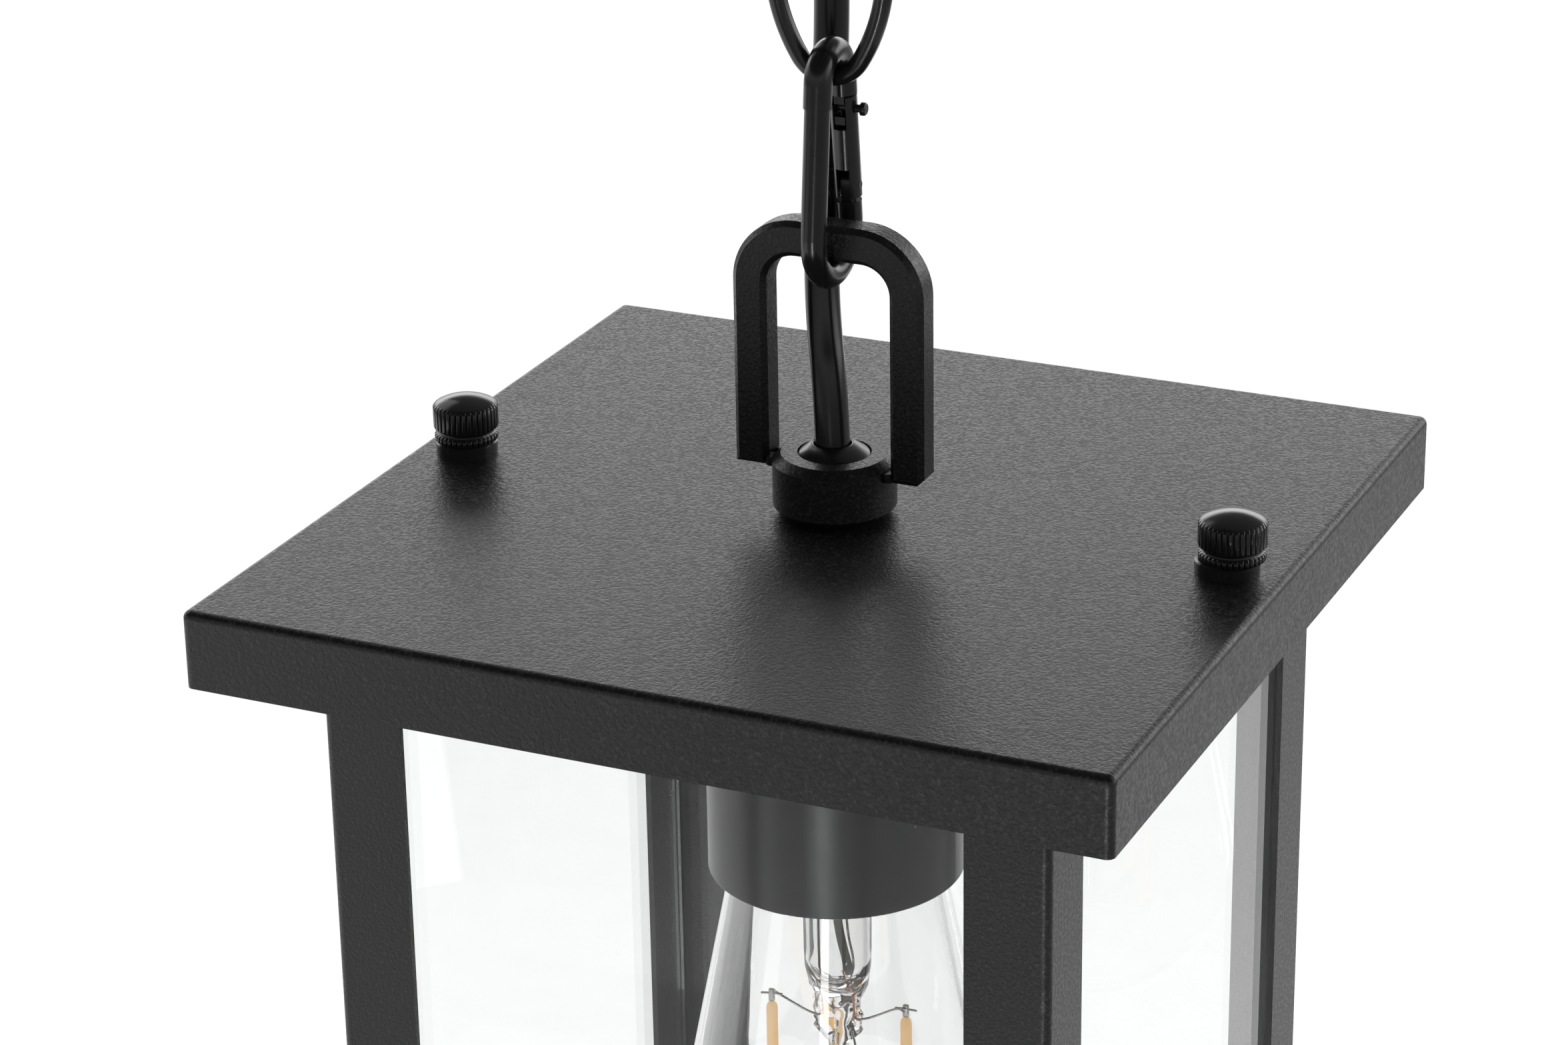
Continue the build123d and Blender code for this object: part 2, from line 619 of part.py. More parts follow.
with BuildPart() as power_cable:
    with BuildLine() as cable_path:
        FilletPolyline(*cable_points, radius=cable_radii)
    with BuildSketch(Plane(origin=cable_points[0], z_dir=(0, 0, 1))):
        Circle(CABLE / 2)
    sweep(path=cable_path.wires()[0])
finish(power_cable.part, "power_cable")
cable_length = cable_path.wires()[0].length
cable_section = math.pi * (CABLE / 2) ** 2
print("cable radii", [round(radius) for radius in cable_radii])
print("cable length", round(cable_length, 1))
print("cable volume / (section x length)", power_cable.part.volume / (cable_section * cable_length))

# ---- leads: the cable's cores at both ends --------------------------------------------------
CORE = 2.0
CORE_BEND = 2.2


def core_path(points):
    """One insulated core of the cable, a bent round wire through the given points."""
    with BuildPart() as core:
        with BuildLine() as path:
            FilletPolyline(*points, radius=CORE_BEND)
        with BuildSketch(Plane(origin=points[0], z_dir=points[1] - points[0])):
            Circle(CORE / 2)
        sweep(path=path.wires()[0])
    return core.part


CORE_RING = 1.6
LEAD_REACH = 22.0
CONNECTOR_LENGTH = 14.0
lead_top = CABLE_END + 7
lead_ways = []
for angle in (90, 210, 330):
    lead_ways.append(Vector(math.cos(math.radians(angle)), math.sin(math.radians(angle)), 0))

with BuildPart() as supply_leads:
    for way in lead_ways:
        core_foot = way * CORE_RING + Vector(0, 0, CABLE_END)
        core_bend = way * CORE_RING + Vector(0, 0, lead_top)
        core_tip = way * LEAD_REACH + Vector(0, 0, lead_top)
        add(core_path([core_foot, core_bend, core_tip]))
finish(supply_leads.part, "supply_leads")

with BuildPart() as wire_connectors:
    for way in lead_ways:
        mouth = way * LEAD_REACH + Vector(0, 0, lead_top)
        with BuildSketch(Plane(origin=mouth, z_dir=way)):
            Circle(4.0)
        with BuildSketch(Plane(origin=mouth + way * CONNECTOR_LENGTH, z_dir=way)):
            Circle(2.6)
        loft()
finish(wire_connectors.part, "wire_connectors")

LAMP_CORE_X = 1.4
LEAD_DROP = 2.6
with BuildPart() as lamp_leads:
    for side in (-1, 1):
        core_top = Vector(side * LAMP_CORE_X, 0, CABLE_START)
        core_bend = Vector(side * LAMP_CORE_X, 0, CABLE_START - LEAD_DROP)
        core_tip = Vector(side * TERMINAL_X, 0, BODY_TOP + LEAD_DROP)
        add(core_path([core_top, core_bend, core_tip]))
finish(lamp_leads.part, "lamp_leads")

# ---- bulb: screw cap, insulator and contact, envelope, stem, supports, filaments --------------
BULB_TIP = ROOF - 24.2
CAP_RADIUS = 12.5
CAP_CREST = 13.0
CAP_HEIGHT = 26.5
CAP_SKIRT = 3.0
CAP_SHOULDER = 5.0
THREAD_PITCH = 3.63
THREAD_TURNS = 4
THREAD_ROUND = 1.1
cap_low = BULB_TIP - CAP_HEIGHT

with BuildPart() as bulb_cap_shell:
    with BuildSketch(Plane.XY.offset(cap_low)):
        Circle(CAP_CREST)
    extrude(amount=CAP_SKIRT)
    with BuildSketch(Plane.XY.offset(cap_low + CAP_SKIRT)):
        Circle(CAP_RADIUS)
    extrude(amount=CAP_HEIGHT - CAP_SKIRT - CAP_SHOULDER)
    for turn in range(THREAD_TURNS):
        with Locations((0, 0, cap_low + 5.6 + turn * THREAD_PITCH)):
            Torus(CAP_RADIUS - 0.6, THREAD_ROUND)
    with BuildSketch(Plane.XY.offset(cap_low - 1)):
        Circle(CAP_RADIUS - 0.9)
    extrude(amount=CAP_HEIGHT - CAP_SHOULDER, mode=Mode.SUBTRACT)
finish(bulb_cap_shell.part, "bulb_cap_shell")

CONTACT_THICK = 1.2
with BuildPart() as bulb_insulator:
    with BuildSketch(Plane.XY.offset(BULB_TIP - CAP_SHOULDER)):
        Circle(CAP_RADIUS - 0.3)
    with BuildSketch(Plane.XY.offset(BULB_TIP - CONTACT_THICK)):
        Circle(5.4)
    loft()
finish(bulb_insulator.part, "bulb_insulator")

with BuildPart() as bulb_contact:
    with BuildSketch(Plane.XY.offset(BULB_TIP - CONTACT_THICK)):
        Circle(4.6)
    extrude(amount=CONTACT_THICK)
    fillet(faces().sort_by(Axis.Z)[-1].edges(), 0.8)
finish(bulb_contact.part, "bulb_contact")

NECK_RADIUS = 13.4
NECK_DROP = CAP_HEIGHT + 0.3
cone_slope = math.radians(11)
low_angle = math.radians(40)
ball_z = BULB_TIP - BULB_LENGTH + BULB_RADIUS
cone_x = BULB_RADIUS * math.cos(cone_slope)
cone_z = ball_z + BULB_RADIUS * math.sin(cone_slope)
shoulder_x = 19.6
shoulder_z = cone_z + (cone_x - shoulder_x) / math.tan(cone_slope)
neck_z = BULB_TIP - NECK_DROP
cone_way = (math.sin(cone_slope), -math.cos(cone_slope))
low_point = (BULB_RADIUS * math.cos(low_angle), ball_z - BULB_RADIUS * math.sin(low_angle))

with BuildPart() as bulb_envelope:
    with BuildSketch(Plane.XZ):
        with BuildLine():
            neck = Line((NECK_RADIUS, neck_z), (NECK_RADIUS, neck_z - 3))
            flare = Spline(neck @ 1, (shoulder_x, shoulder_z), tangents=[(0, -1), cone_way])
            cone = Line(flare @ 1, (cone_x, cone_z))
            ball = ThreePointArc(cone @ 1, low_point, (0, ball_z - BULB_RADIUS))
            Line(ball @ 1, (0, neck_z))
            Line((0, neck_z), neck @ 0)
        make_face()
    revolve(axis=Axis.Z)
    offset(amount=-GLASS_WALL, openings=faces().sort_by(Axis.Z)[-1])
finish(bulb_envelope.part, "bulb_envelope")

STEM_RADIUS = 6.7
STEM_WALL = 0.9
STEM_SHOULDER = BULB_TIP - 73.8
PRESS_TOP = BULB_TIP - 78.3
PRESS_SIZE = (9.6, 4.4, 8.5)
ROD_RADIUS = 2.0
FILAMENT_TOP = BULB_TIP - 82.0
FILAMENT_LENGTH = 38.0
FILAMENT_RING = 13.7
FILAMENT_RADIUS = 1.2
FILAMENT_ANGLES = (9, 110, 189, 290)
SUPPORT_WIRE = 0.3
TAB = (1.1, 0.5, 3.0)
CROSS_WIRE = 4.4

flare_out = NECK_RADIUS - GLASS_WALL - 0.6
press_bottom = PRESS_TOP - PRESS_SIZE[2]
filament_bottom = FILAMENT_TOP - FILAMENT_LENGTH
rod_end = filament_bottom - 1
hub = rod_end - 3


def rod(start, end, radius):
    """A straight round rod between two points."""
    low = Vector(*start)
    high = Vector(*end)
    with BuildPart() as bar:
        with BuildSketch(Plane(origin=low, z_dir=high - low)):
            Circle(radius)
        extrude(amount=(high - low).length)
    return bar.part


with BuildPart() as bulb_stem:
    with BuildSketch(Plane.XZ):
        with BuildLine():
            Polyline(
                (flare_out, neck_z - 1),
                (STEM_RADIUS + 1, neck_z - 5),
                (STEM_RADIUS, neck_z - 9),
                (STEM_RADIUS, STEM_SHOULDER),
                (STEM_RADIUS / 2, PRESS_TOP),
                (0, PRESS_TOP),
                (0, PRESS_TOP + STEM_WALL),
                (STEM_RADIUS / 2 - STEM_WALL, PRESS_TOP + STEM_WALL),
                (STEM_RADIUS - STEM_WALL, STEM_SHOULDER),
                (STEM_RADIUS - STEM_WALL, neck_z - 9),
                (STEM_RADIUS + 1 - STEM_WALL, neck_z - 5),
                (flare_out - STEM_WALL, neck_z - 1),
                close=True,
            )
        make_face()
    revolve(axis=Axis.Z)
    with Locations((0, 0, PRESS_TOP - PRESS_SIZE[2] / 2)):
        press = Box(*PRESS_SIZE)
    fillet(press.edges().filter_by(Axis.Z), 1.5)
    with BuildSketch(Plane.XY.offset(rod_end)):
        Circle(ROD_RADIUS)
    extrude(amount=PRESS_TOP - rod_end)
finish(bulb_stem.part, "bulb_stem")

filament_places = []
for angle in FILAMENT_ANGLES:
    out = math.radians(angle)
    filament_places.append((math.cos(out), math.sin(out), angle))

with BuildPart() as filament_supports:
    add(rod((0, 0, hub), (0, 0, rod_end), 2 * SUPPORT_WIRE))
    for out_x, out_y, angle in filament_places:
        x = FILAMENT_RING * out_x
        y = FILAMENT_RING * out_y
        cross_z = FILAMENT_TOP + 0.6 * TAB[2]
        add(rod((0, 0, hub), (x, y, filament_bottom - 1), SUPPORT_WIRE))
        add(rod((0.45 * x, 0.45 * y, press_bottom + 2.5), (x, y, cross_z), SUPPORT_WIRE))
        for tab_z in (FILAMENT_TOP + TAB[2] / 2, filament_bottom - TAB[2] / 2):
            with Locations(Location((x, y, tab_z), (0, 0, angle + 90))):
                Box(*TAB)
        with Locations(Location((x, y, cross_z), (0, 0, angle + 90))):
            Box(CROSS_WIRE, 2 * SUPPORT_WIRE, 2 * SUPPORT_WIRE)
finish(filament_supports.part, "filament_supports")

with BuildPart() as filaments:
    for out_x, out_y, angle in filament_places:
        middle_z = FILAMENT_TOP - FILAMENT_LENGTH / 2
        with Locations((FILAMENT_RING * out_x, FILAMENT_RING * out_y, middle_z)):
            Cylinder(FILAMENT_RADIUS, FILAMENT_LENGTH)
    fillet(edges().filter_by(GeomType.CIRCLE), FILAMENT_RADIUS / 2)
finish(filaments.part, "filaments")

# ---- cage: top and bottom frames of bent angle, four corner posts --------------------------
cage_half = CAGE_WIDTH / 2
FLANGE = 14.0
BOTTOM_RAIL = 16.0
EAR_WIDTH = 22.0
EAR_REACH = 84.5
EAR_ROOT = 2.0
STUD_HEAD = 3.2
STUD_FLATS = 8.0
top_rail_bottom = ROOF - TOP_RAIL_REACH


def square_frame(flange_z, rail_low, rail_high):
    """A square ring of angle: a flat inward flange and an upright rail round its edge."""
    with BuildPart() as frame:
        with BuildSketch(Plane.XY.offset(rail_low)):
            RectangleRounded(CAGE_WIDTH, CAGE_WIDTH, ANGLE_BEND)
            Rectangle(CAGE_WIDTH - 2 * SHEET, CAGE_WIDTH - 2 * SHEET, mode=Mode.SUBTRACT)
        extrude(amount=rail_high - rail_low)
        with BuildSketch(Plane.XY.offset(flange_z)):
            RectangleRounded(CAGE_WIDTH, CAGE_WIDTH, ANGLE_BEND)
            Rectangle(CAGE_WIDTH - 2 * FLANGE, CAGE_WIDTH - 2 * FLANGE, mode=Mode.SUBTRACT)
        extrude(amount=SHEET)
    return frame.part


with BuildPart() as cage_top_frame:
    add(square_frame(CAGE_TOP - SHEET, top_rail_bottom, CAGE_TOP))
    for side in (-1, 1):
        with BuildSketch(Plane.XY.offset(CAGE_TOP - SHEET)):
            with Locations((side * (cage_half - EAR_ROOT + EAR_REACH) / 2, 0)):
                Rectangle(EAR_REACH - cage_half + EAR_ROOT, EAR_WIDTH)
        extrude(amount=SHEET)
    with BuildSketch(Plane.XY.offset(CAGE_TOP - SHEET - 1)):
        with Locations((-STUD_X, 0), (STUD_X, 0)):
            Circle(STUD_RADIUS + THREAD_GAP)
    extrude(amount=SHEET + 2, mode=Mode.SUBTRACT)
finish(cage_top_frame.part, "cage_top_frame")

with BuildPart() as threaded_studs:
    with BuildSketch(Plane.XY.offset(CAGE_TOP - SHEET - STUD_HEAD)):
        with Locations((-STUD_X, 0), (STUD_X, 0)):
            RegularPolygon(STUD_FLATS / 2, 6, major_radius=False)
    extrude(amount=STUD_HEAD)
    with BuildSketch(Plane.XY.offset(CAGE_TOP - SHEET)):
        with Locations((-STUD_X, 0), (STUD_X, 0)):
            Circle(STUD_RADIUS)
    extrude(amount=STUD_TOP - CAGE_TOP + SHEET)
finish(threaded_studs.part, "threaded_studs")

with BuildPart() as cage_bottom_frame:
    add(square_frame(CAGE_BOTTOM, CAGE_BOTTOM, CAGE_BOTTOM + BOTTOM_RAIL))
finish(cage_bottom_frame.part, "cage_bottom_frame")

post_low = CAGE_BOTTOM + BOTTOM_RAIL
leg_middle = cage_half - ANGLE_LEG / 2
with BuildPart() as post:
    with BuildSketch(Plane.XY.offset(post_low)):
        with Locations((leg_middle, leg_middle)):
            Rectangle(ANGLE_LEG, ANGLE_LEG)
        with Locations((leg_middle - SHEET, leg_middle - SHEET)):
            Rectangle(ANGLE_LEG, ANGLE_LEG, mode=Mode.SUBTRACT)
    extrude(amount=top_rail_bottom - post_low)
    fillet(edges().filter_by(Axis.Z).sort_by(Axis((0, 0, 0), (1, 1, 0)))[-1], ANGLE_BEND)

post_names = ["back_right_post", "back_left_post", "front_left_post", "front_right_post"]
for quarter, name in enumerate(post_names):
    finish(post.part.moved(Location((0, 0, 0), (0, 0, 90 * quarter))), name)

# ---- glass: four panes that stand on the bottom flange, held by bent clips -----------------
PANE_GAP = 0.25
pane_out = cage_half - SHEET - PANE_GAP
pane_in = pane_out - GLASS
pane_low = CAGE_BOTTOM + SHEET
pane_high = CAGE_TOP - SHEET - 1.0
pane_middle = pane_out - GLASS / 2
wide_pane = 2 * pane_out
narrow_pane = 2 * (pane_in - PANE_GAP)
panes = {
    "front_pane": ((0, -pane_middle), wide_pane, GLASS),
    "back_pane": ((0, pane_middle), wide_pane, GLASS),
    "left_pane": ((-pane_middle, 0), GLASS, narrow_pane),
    "right_pane": ((pane_middle, 0), GLASS, narrow_pane),
}
for name, (centre, size_x, size_y) in panes.items():
    with BuildPart() as pane:
        with BuildSketch(Plane.XY.offset(pane_low)):
            with Locations(centre):
                Rectangle(size_x, size_y)
        extrude(amount=pane_high - pane_low)
        chamfer(edges().filter_by(Axis.Z), 0.3)
    finish(pane.part, name)

CLIP_WIDTH = 12.0
CLIP_SHEET = 0.8
CLIP_LEAF = 9.0
CLIP_FOOT = 6.0
clip_face = pane_in - PANE_GAP

with BuildPart() as glass_clips:
    for foot, way in ((CAGE_TOP - SHEET, -1), (CAGE_BOTTOM + SHEET, 1)):
        with BuildSketch(Plane.XZ.offset(-CLIP_WIDTH / 2)):
            with BuildLine():
                Polyline(
                    (clip_face, foot + way * CLIP_LEAF),
                    (clip_face - CLIP_SHEET, foot + way * CLIP_LEAF),
                    (clip_face - CLIP_SHEET, foot + way * CLIP_SHEET),
                    (clip_face - CLIP_FOOT, foot + way * CLIP_SHEET),
                    (clip_face - CLIP_FOOT, foot),
                    (clip_face, foot),
                    close=True,
                )
            make_face()
        extrude(amount=CLIP_WIDTH)
with BuildPart() as all_clips:
    for quarter in range(4):
        add(glass_clips.part.moved(Location((0, 0, 0), (0, 0, 90 * quarter))))
finish(all_clips.part, "glass_clips")
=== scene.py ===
import math

import bmesh
import bpy
from mathutils import Matrix, Vector, noise


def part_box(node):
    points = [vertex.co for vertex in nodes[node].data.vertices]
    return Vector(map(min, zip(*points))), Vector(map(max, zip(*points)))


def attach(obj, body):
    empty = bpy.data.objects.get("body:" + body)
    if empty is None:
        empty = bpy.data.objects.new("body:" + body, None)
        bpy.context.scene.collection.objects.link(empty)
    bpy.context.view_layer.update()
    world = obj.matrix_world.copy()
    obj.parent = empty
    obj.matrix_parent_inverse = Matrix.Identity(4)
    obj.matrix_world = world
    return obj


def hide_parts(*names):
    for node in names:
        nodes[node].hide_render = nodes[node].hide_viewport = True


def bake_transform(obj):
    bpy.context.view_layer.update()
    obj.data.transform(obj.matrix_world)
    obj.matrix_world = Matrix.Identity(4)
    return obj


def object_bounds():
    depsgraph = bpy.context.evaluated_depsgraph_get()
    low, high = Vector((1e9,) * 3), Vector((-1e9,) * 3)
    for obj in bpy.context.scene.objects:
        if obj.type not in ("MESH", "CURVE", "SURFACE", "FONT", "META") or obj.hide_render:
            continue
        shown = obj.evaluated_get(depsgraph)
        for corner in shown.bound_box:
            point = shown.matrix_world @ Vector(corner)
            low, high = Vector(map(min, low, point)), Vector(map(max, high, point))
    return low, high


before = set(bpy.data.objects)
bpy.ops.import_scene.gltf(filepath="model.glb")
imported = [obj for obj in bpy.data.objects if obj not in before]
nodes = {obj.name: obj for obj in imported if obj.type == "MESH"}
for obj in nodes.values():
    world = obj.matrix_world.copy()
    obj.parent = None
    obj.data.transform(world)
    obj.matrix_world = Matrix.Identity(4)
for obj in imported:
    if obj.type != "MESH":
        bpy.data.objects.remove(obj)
cad_low, cad_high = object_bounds()
MM = 0.001

# ---- places, from the frame -------------------------------------------------------------------
roof_low, roof_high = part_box("roof_cover")
ROOF_Z = roof_high[2]
ROOF_WIDTH = roof_high[0] - roof_low[0]


# ---- camera -----------------------------------------------------------------------------------
AZIMUTH = math.radians(24.86)
ELEVATION = math.radians(22.50)
ROLL = math.radians(-0.97)
DISTANCE = 4.544 * ROOF_WIDTH
LOOK_RIGHT = -0.0544 * ROOF_WIDTH
LOOK_UP = -0.0138 * ROOF_WIDTH
FOCAL = 98.6
SENSOR = 36.0
VIEW_DEPTH = 100.0


def add_camera():
    """A camera in front, to the right and above, that looks at the roof's middle."""
    data = bpy.data.cameras.new("camera")
    data.lens = FOCAL
    data.sensor_width = SENSOR
    data.clip_end = VIEW_DEPTH
    camera = bpy.data.objects.new("camera", data)
    bpy.context.collection.objects.link(camera)
    back = Vector(
        (
            math.sin(AZIMUTH) * math.cos(ELEVATION),
            -math.cos(AZIMUTH) * math.cos(ELEVATION),
            math.sin(ELEVATION),
        )
    )
    right = Vector((math.cos(AZIMUTH), math.sin(AZIMUTH), 0))
    up = back.cross(right)
    place = Vector((0, 0, ROOF_Z)) + back * DISTANCE + right * LOOK_RIGHT + up * LOOK_UP
    turned_right = right * math.cos(ROLL) + up * math.sin(ROLL)
    turned_up = up * math.cos(ROLL) - right * math.sin(ROLL)
    axes = Matrix((turned_right, turned_up, back)).transposed()
    camera.matrix_world = Matrix.Translation(place) @ axes.to_4x4()
    bpy.context.scene.camera = camera


# ---- studio: glows are strengths, and reaches are parts of a direction of length 1 -------------
FRONT_REACH = -0.4
BEHIND_REACH = 0.7
FRONT_GLOW = 0.2
BEHIND_GLOW = 1.1
BAND_FOOT = -0.1
BAND_TOP = 0.28
BAND_GLOW = 2.65
OVERHEAD_REACH = 0.45
OVERHEAD_GLOW = 0.06
FLOOR_DROP = 0.55
FLOOR_REACH = 30.0


def add_area(name, place, target, size, power):
    """One soft light that faces a point; size is its width and height, power is in watts."""
    data = bpy.data.lights.new(name, "AREA")
    data.shape = "RECTANGLE"
    data.size, data.size_y = size
    data.energy = power
    lamp = bpy.data.objects.new(name, data)
    bpy.context.collection.objects.link(lamp)
    aim = Vector(place) - Vector(target)
    turn = aim.to_track_quat("Z", "Y").to_matrix().to_4x4()
    lamp.matrix_world = Matrix.Translation(Vector(place)) @ turn


def add_world():
    """A pale studio: bright behind, brightest in a band over the horizon, dim elsewhere."""
    world = bpy.data.worlds.new("studio")
    bpy.context.scene.world = world
    world.use_nodes = True
    tree = world.node_tree
    background = tree.nodes["Background"]
    coords = tree.nodes.new("ShaderNodeTexCoord")
    split = tree.nodes.new("ShaderNodeSeparateXYZ")
    tree.links.new(coords.outputs["Generated"], split.inputs[0])
    across = split.outputs["Y"]
    upward = split.outputs["Z"]
    behind = map_range(
        tree, across, FRONT_REACH, BEHIND_REACH, FRONT_GLOW, BEHIND_GLOW, smooth=True
    )
    glow = map_range(tree, upward, BAND_FOOT, BAND_TOP, 1.0, BAND_GLOW, smooth=True)
    overhead = map_range(tree, upward, BAND_TOP, OVERHEAD_REACH, 1.0, OVERHEAD_GLOW, smooth=True)
    strength = multiply(tree, multiply(tree, behind, glow), overhead)
    tree.links.new(strength, background.inputs["Strength"])
    background.inputs["Color"].default_value = (1.0, 1.0, 1.0, 1.0)


def add_floor():
    """A wide pale floor well below the hanging lantern."""
    mesh = bpy.data.meshes.new("floor")
    level = cad_low[2] - FLOOR_DROP
    corners = [(-1, -1), (1, -1), (1, 1), (-1, 1)]
    mesh.from_pydata(
        [(x * FLOOR_REACH, y * FLOOR_REACH, level) for x, y in corners],
        [],
        [(0, 1, 2, 3)],
    )
    floor = bpy.data.objects.new("floor", mesh)
    bpy.context.collection.objects.link(floor)
    grey = (0.90, 0.90, 0.90)
    pale = (0.93, 0.93, 0.93)
    mesh.materials.append(flecked("floor_paint", grey, pale, (0.7, 0.8), 40, 200, 0.0002))


# ---- materials: colours are linear, noise scales are per metre, bump depths are in metres ------
MOTTLE_LOW = 0.3
MOTTLE_HIGH = 0.7
GLASS_INDEX = 1.5
GLASS_EDGE = 0.004
GLASS_EDGE_BLEND = 0.001


def start_material(name, roughness=0.5, metallic=0.0):
    """A new material with its node tree, shader and object coordinates."""
    material = bpy.data.materials.new(name)
    material.use_nodes = True
    tree = material.node_tree
    shader = tree.nodes["Principled BSDF"]
    shader.inputs["Roughness"].default_value = roughness
    shader.inputs["Metallic"].default_value = metallic
    coords = tree.nodes.new("ShaderNodeTexCoord")
    return material, tree, shader, coords.outputs["Object"]


def add_noise(tree, vector, scale, detail=3.0, roughness=0.55):
    """A noise texture's plain value, from 0 to 1."""
    texture = tree.nodes.new("ShaderNodeTexNoise")
    texture.inputs["Scale"].default_value = scale
    texture.inputs["Detail"].default_value = detail
    texture.inputs["Roughness"].default_value = roughness
    tree.links.new(vector, texture.inputs["Vector"])
    return texture.outputs["Fac"]


def multiply(tree, first, second):
    """The product of two values."""
    node = tree.nodes.new("ShaderNodeMath")
    node.operation = "MULTIPLY"
    tree.links.new(first, node.inputs[0])
    tree.links.new(second, node.inputs[1])
    return node.outputs[0]


def map_range(tree, value, low, high, to_low, to_high, smooth=False):
    """A value moved from one range to another, and held inside it."""
    node = tree.nodes.new("ShaderNodeMapRange")
    if smooth:
        node.interpolation_type = "SMOOTHSTEP"
    node.inputs["From Min"].default_value = low
    node.inputs["From Max"].default_value = high
    node.inputs["To Min"].default_value = to_low
    node.inputs["To Max"].default_value = to_high
    tree.links.new(value, node.inputs["Value"])
    return node.outputs[0]


def mix_color(tree, factor, first, second):
    """A colour between two, each a socket or three numbers."""
    node = tree.nodes.new("ShaderNodeMix")
    node.data_type = "RGBA"
    tree.links.new(factor, node.inputs["Factor"])
    for socket, color in ((node.inputs[6], first), (node.inputs[7], second)):
        if isinstance(color, bpy.types.NodeSocket):
            tree.links.new(color, socket)
        else:
            socket.default_value = (*color, 1.0)
    return node.outputs[2]


def mottled(tree, slow, low, high):
    """A slow noise's usual range, spread from low to high."""
    return map_range(tree, slow, MOTTLE_LOW, MOTTLE_HIGH, low, high)


def add_bump(tree, shader, height, distance):
    """Bump from a height of 0 to 1, where 1 is distance metres."""
    node = tree.nodes.new("ShaderNodeBump")
    node.inputs["Distance"].default_value = distance
    node.inputs["Strength"].default_value = 1.0
    tree.links.new(height, node.inputs["Height"])
    tree.links.new(node.outputs[0], shader.inputs["Normal"])


def flecked(name, dark, light, rough, mottle, grain, depth, metallic=0.0):
    """A finish with slow colour and gloss changes and a fine grain of real depth in metres."""
    material, tree, shader, vector = start_material(name, metallic=metallic)
    slow = add_noise(tree, vector, mottle)
    spread = mottled(tree, slow, 0.0, 1.0)
    tree.links.new(mix_color(tree, spread, dark, light), shader.inputs["Base Color"])
    tree.links.new(mottled(tree, slow, *rough), shader.inputs["Roughness"])
    add_bump(tree, shader, add_noise(tree, vector, grain), depth)
    return material


def powder_coat():
    """Fine-textured black powder coat: small soft grains, a few bright specks."""
    material, tree, shader, vector = start_material("powder_coat")
    slow = add_noise(tree, vector, 35.0)
    grain = add_noise(tree, vector, 1500.0, 2.5, 0.62)
    spread = mottled(tree, slow, 0.0, 1.0)
    base = mix_color(tree, spread, (0.008, 0.008, 0.009), (0.011, 0.011, 0.012))
    peak = map_range(tree, grain, 0.58, 0.72, 0.0, 1.0)
    tree.links.new(mix_color(tree, peak, base, (0.04, 0.04, 0.041)), shader.inputs["Base Color"])
    tree.links.new(map_range(tree, grain, 0.38, 0.62, 0.28, 0.46), shader.inputs["Roughness"])
    add_bump(tree, shader, grain, 0.0001)
    return material


def dusty(name, dark, light, rough):
    """Smooth satin paint with hardly any grain and a few specks of dust."""
    material, tree, shader, vector = start_material(name)
    slow = add_noise(tree, vector, 30.0)
    base = mix_color(tree, mottled(tree, slow, 0.0, 1.0), dark, light)
    speck = map_range(tree, add_noise(tree, vector, 700.0, 1.0), 0.80, 0.84, 0.0, 1.0)
    tree.links.new(mix_color(tree, speck, base, (0.3, 0.3, 0.3)), shader.inputs["Base Color"])
    tree.links.new(mottled(tree, slow, *rough), shader.inputs["Roughness"])
    add_bump(tree, shader, slow, 0.00002)
    return material


def satin_black(name, rough, color=(0.013, 0.013, 0.014)):
    """Smooth satin black with fine scratches drawn out along Z."""
    material, tree, shader, vector = start_material(name)
    stretch = tree.nodes.new("ShaderNodeMapping")
    stretch.inputs["Scale"].default_value = (2400.0, 2400.0, 60.0)
    tree.links.new(vector, stretch.inputs["Vector"])
    lines = add_noise(tree, stretch.outputs[0], 1.0, 2.0)
    slow = add_noise(tree, vector, 90.0)
    worn = map_range(tree, lines, 0.62, 0.8, 0.0, 0.6)
    light = tuple(3.5 * c for c in color)
    tree.links.new(mix_color(tree, worn, color, light), shader.inputs["Base Color"])
    tree.links.new(mottled(tree, slow, *rough), shader.inputs["Roughness"])
    add_bump(tree, shader, lines, 0.00001)
    return material


def waxy(name, dark, light, depth, glow):
    """A translucent coat; glow stands for the light that the bulb's glass holds back."""
    material, tree, shader, vector = start_material(name, roughness=0.35)
    slow = add_noise(tree, vector, 260.0)
    spread = mottled(tree, slow, 0.0, 1.0)
    tree.links.new(mix_color(tree, spread, dark, light), shader.inputs["Base Color"])
    tree.links.new(mottled(tree, slow, 0.3, 0.42), shader.inputs["Roughness"])
    shader.inputs["Subsurface Weight"].default_value = 1.0
    shader.inputs["Subsurface Radius"].default_value = (1.0, 0.7, 0.4)
    shader.inputs["Subsurface Scale"].default_value = depth
    shader.inputs["Emission Color"].default_value = (*light, 1.0)
    shader.inputs["Emission Strength"].default_value = glow
    add_bump(tree, shader, add_noise(tree, vector, 1600.0), 0.00002)
    return material


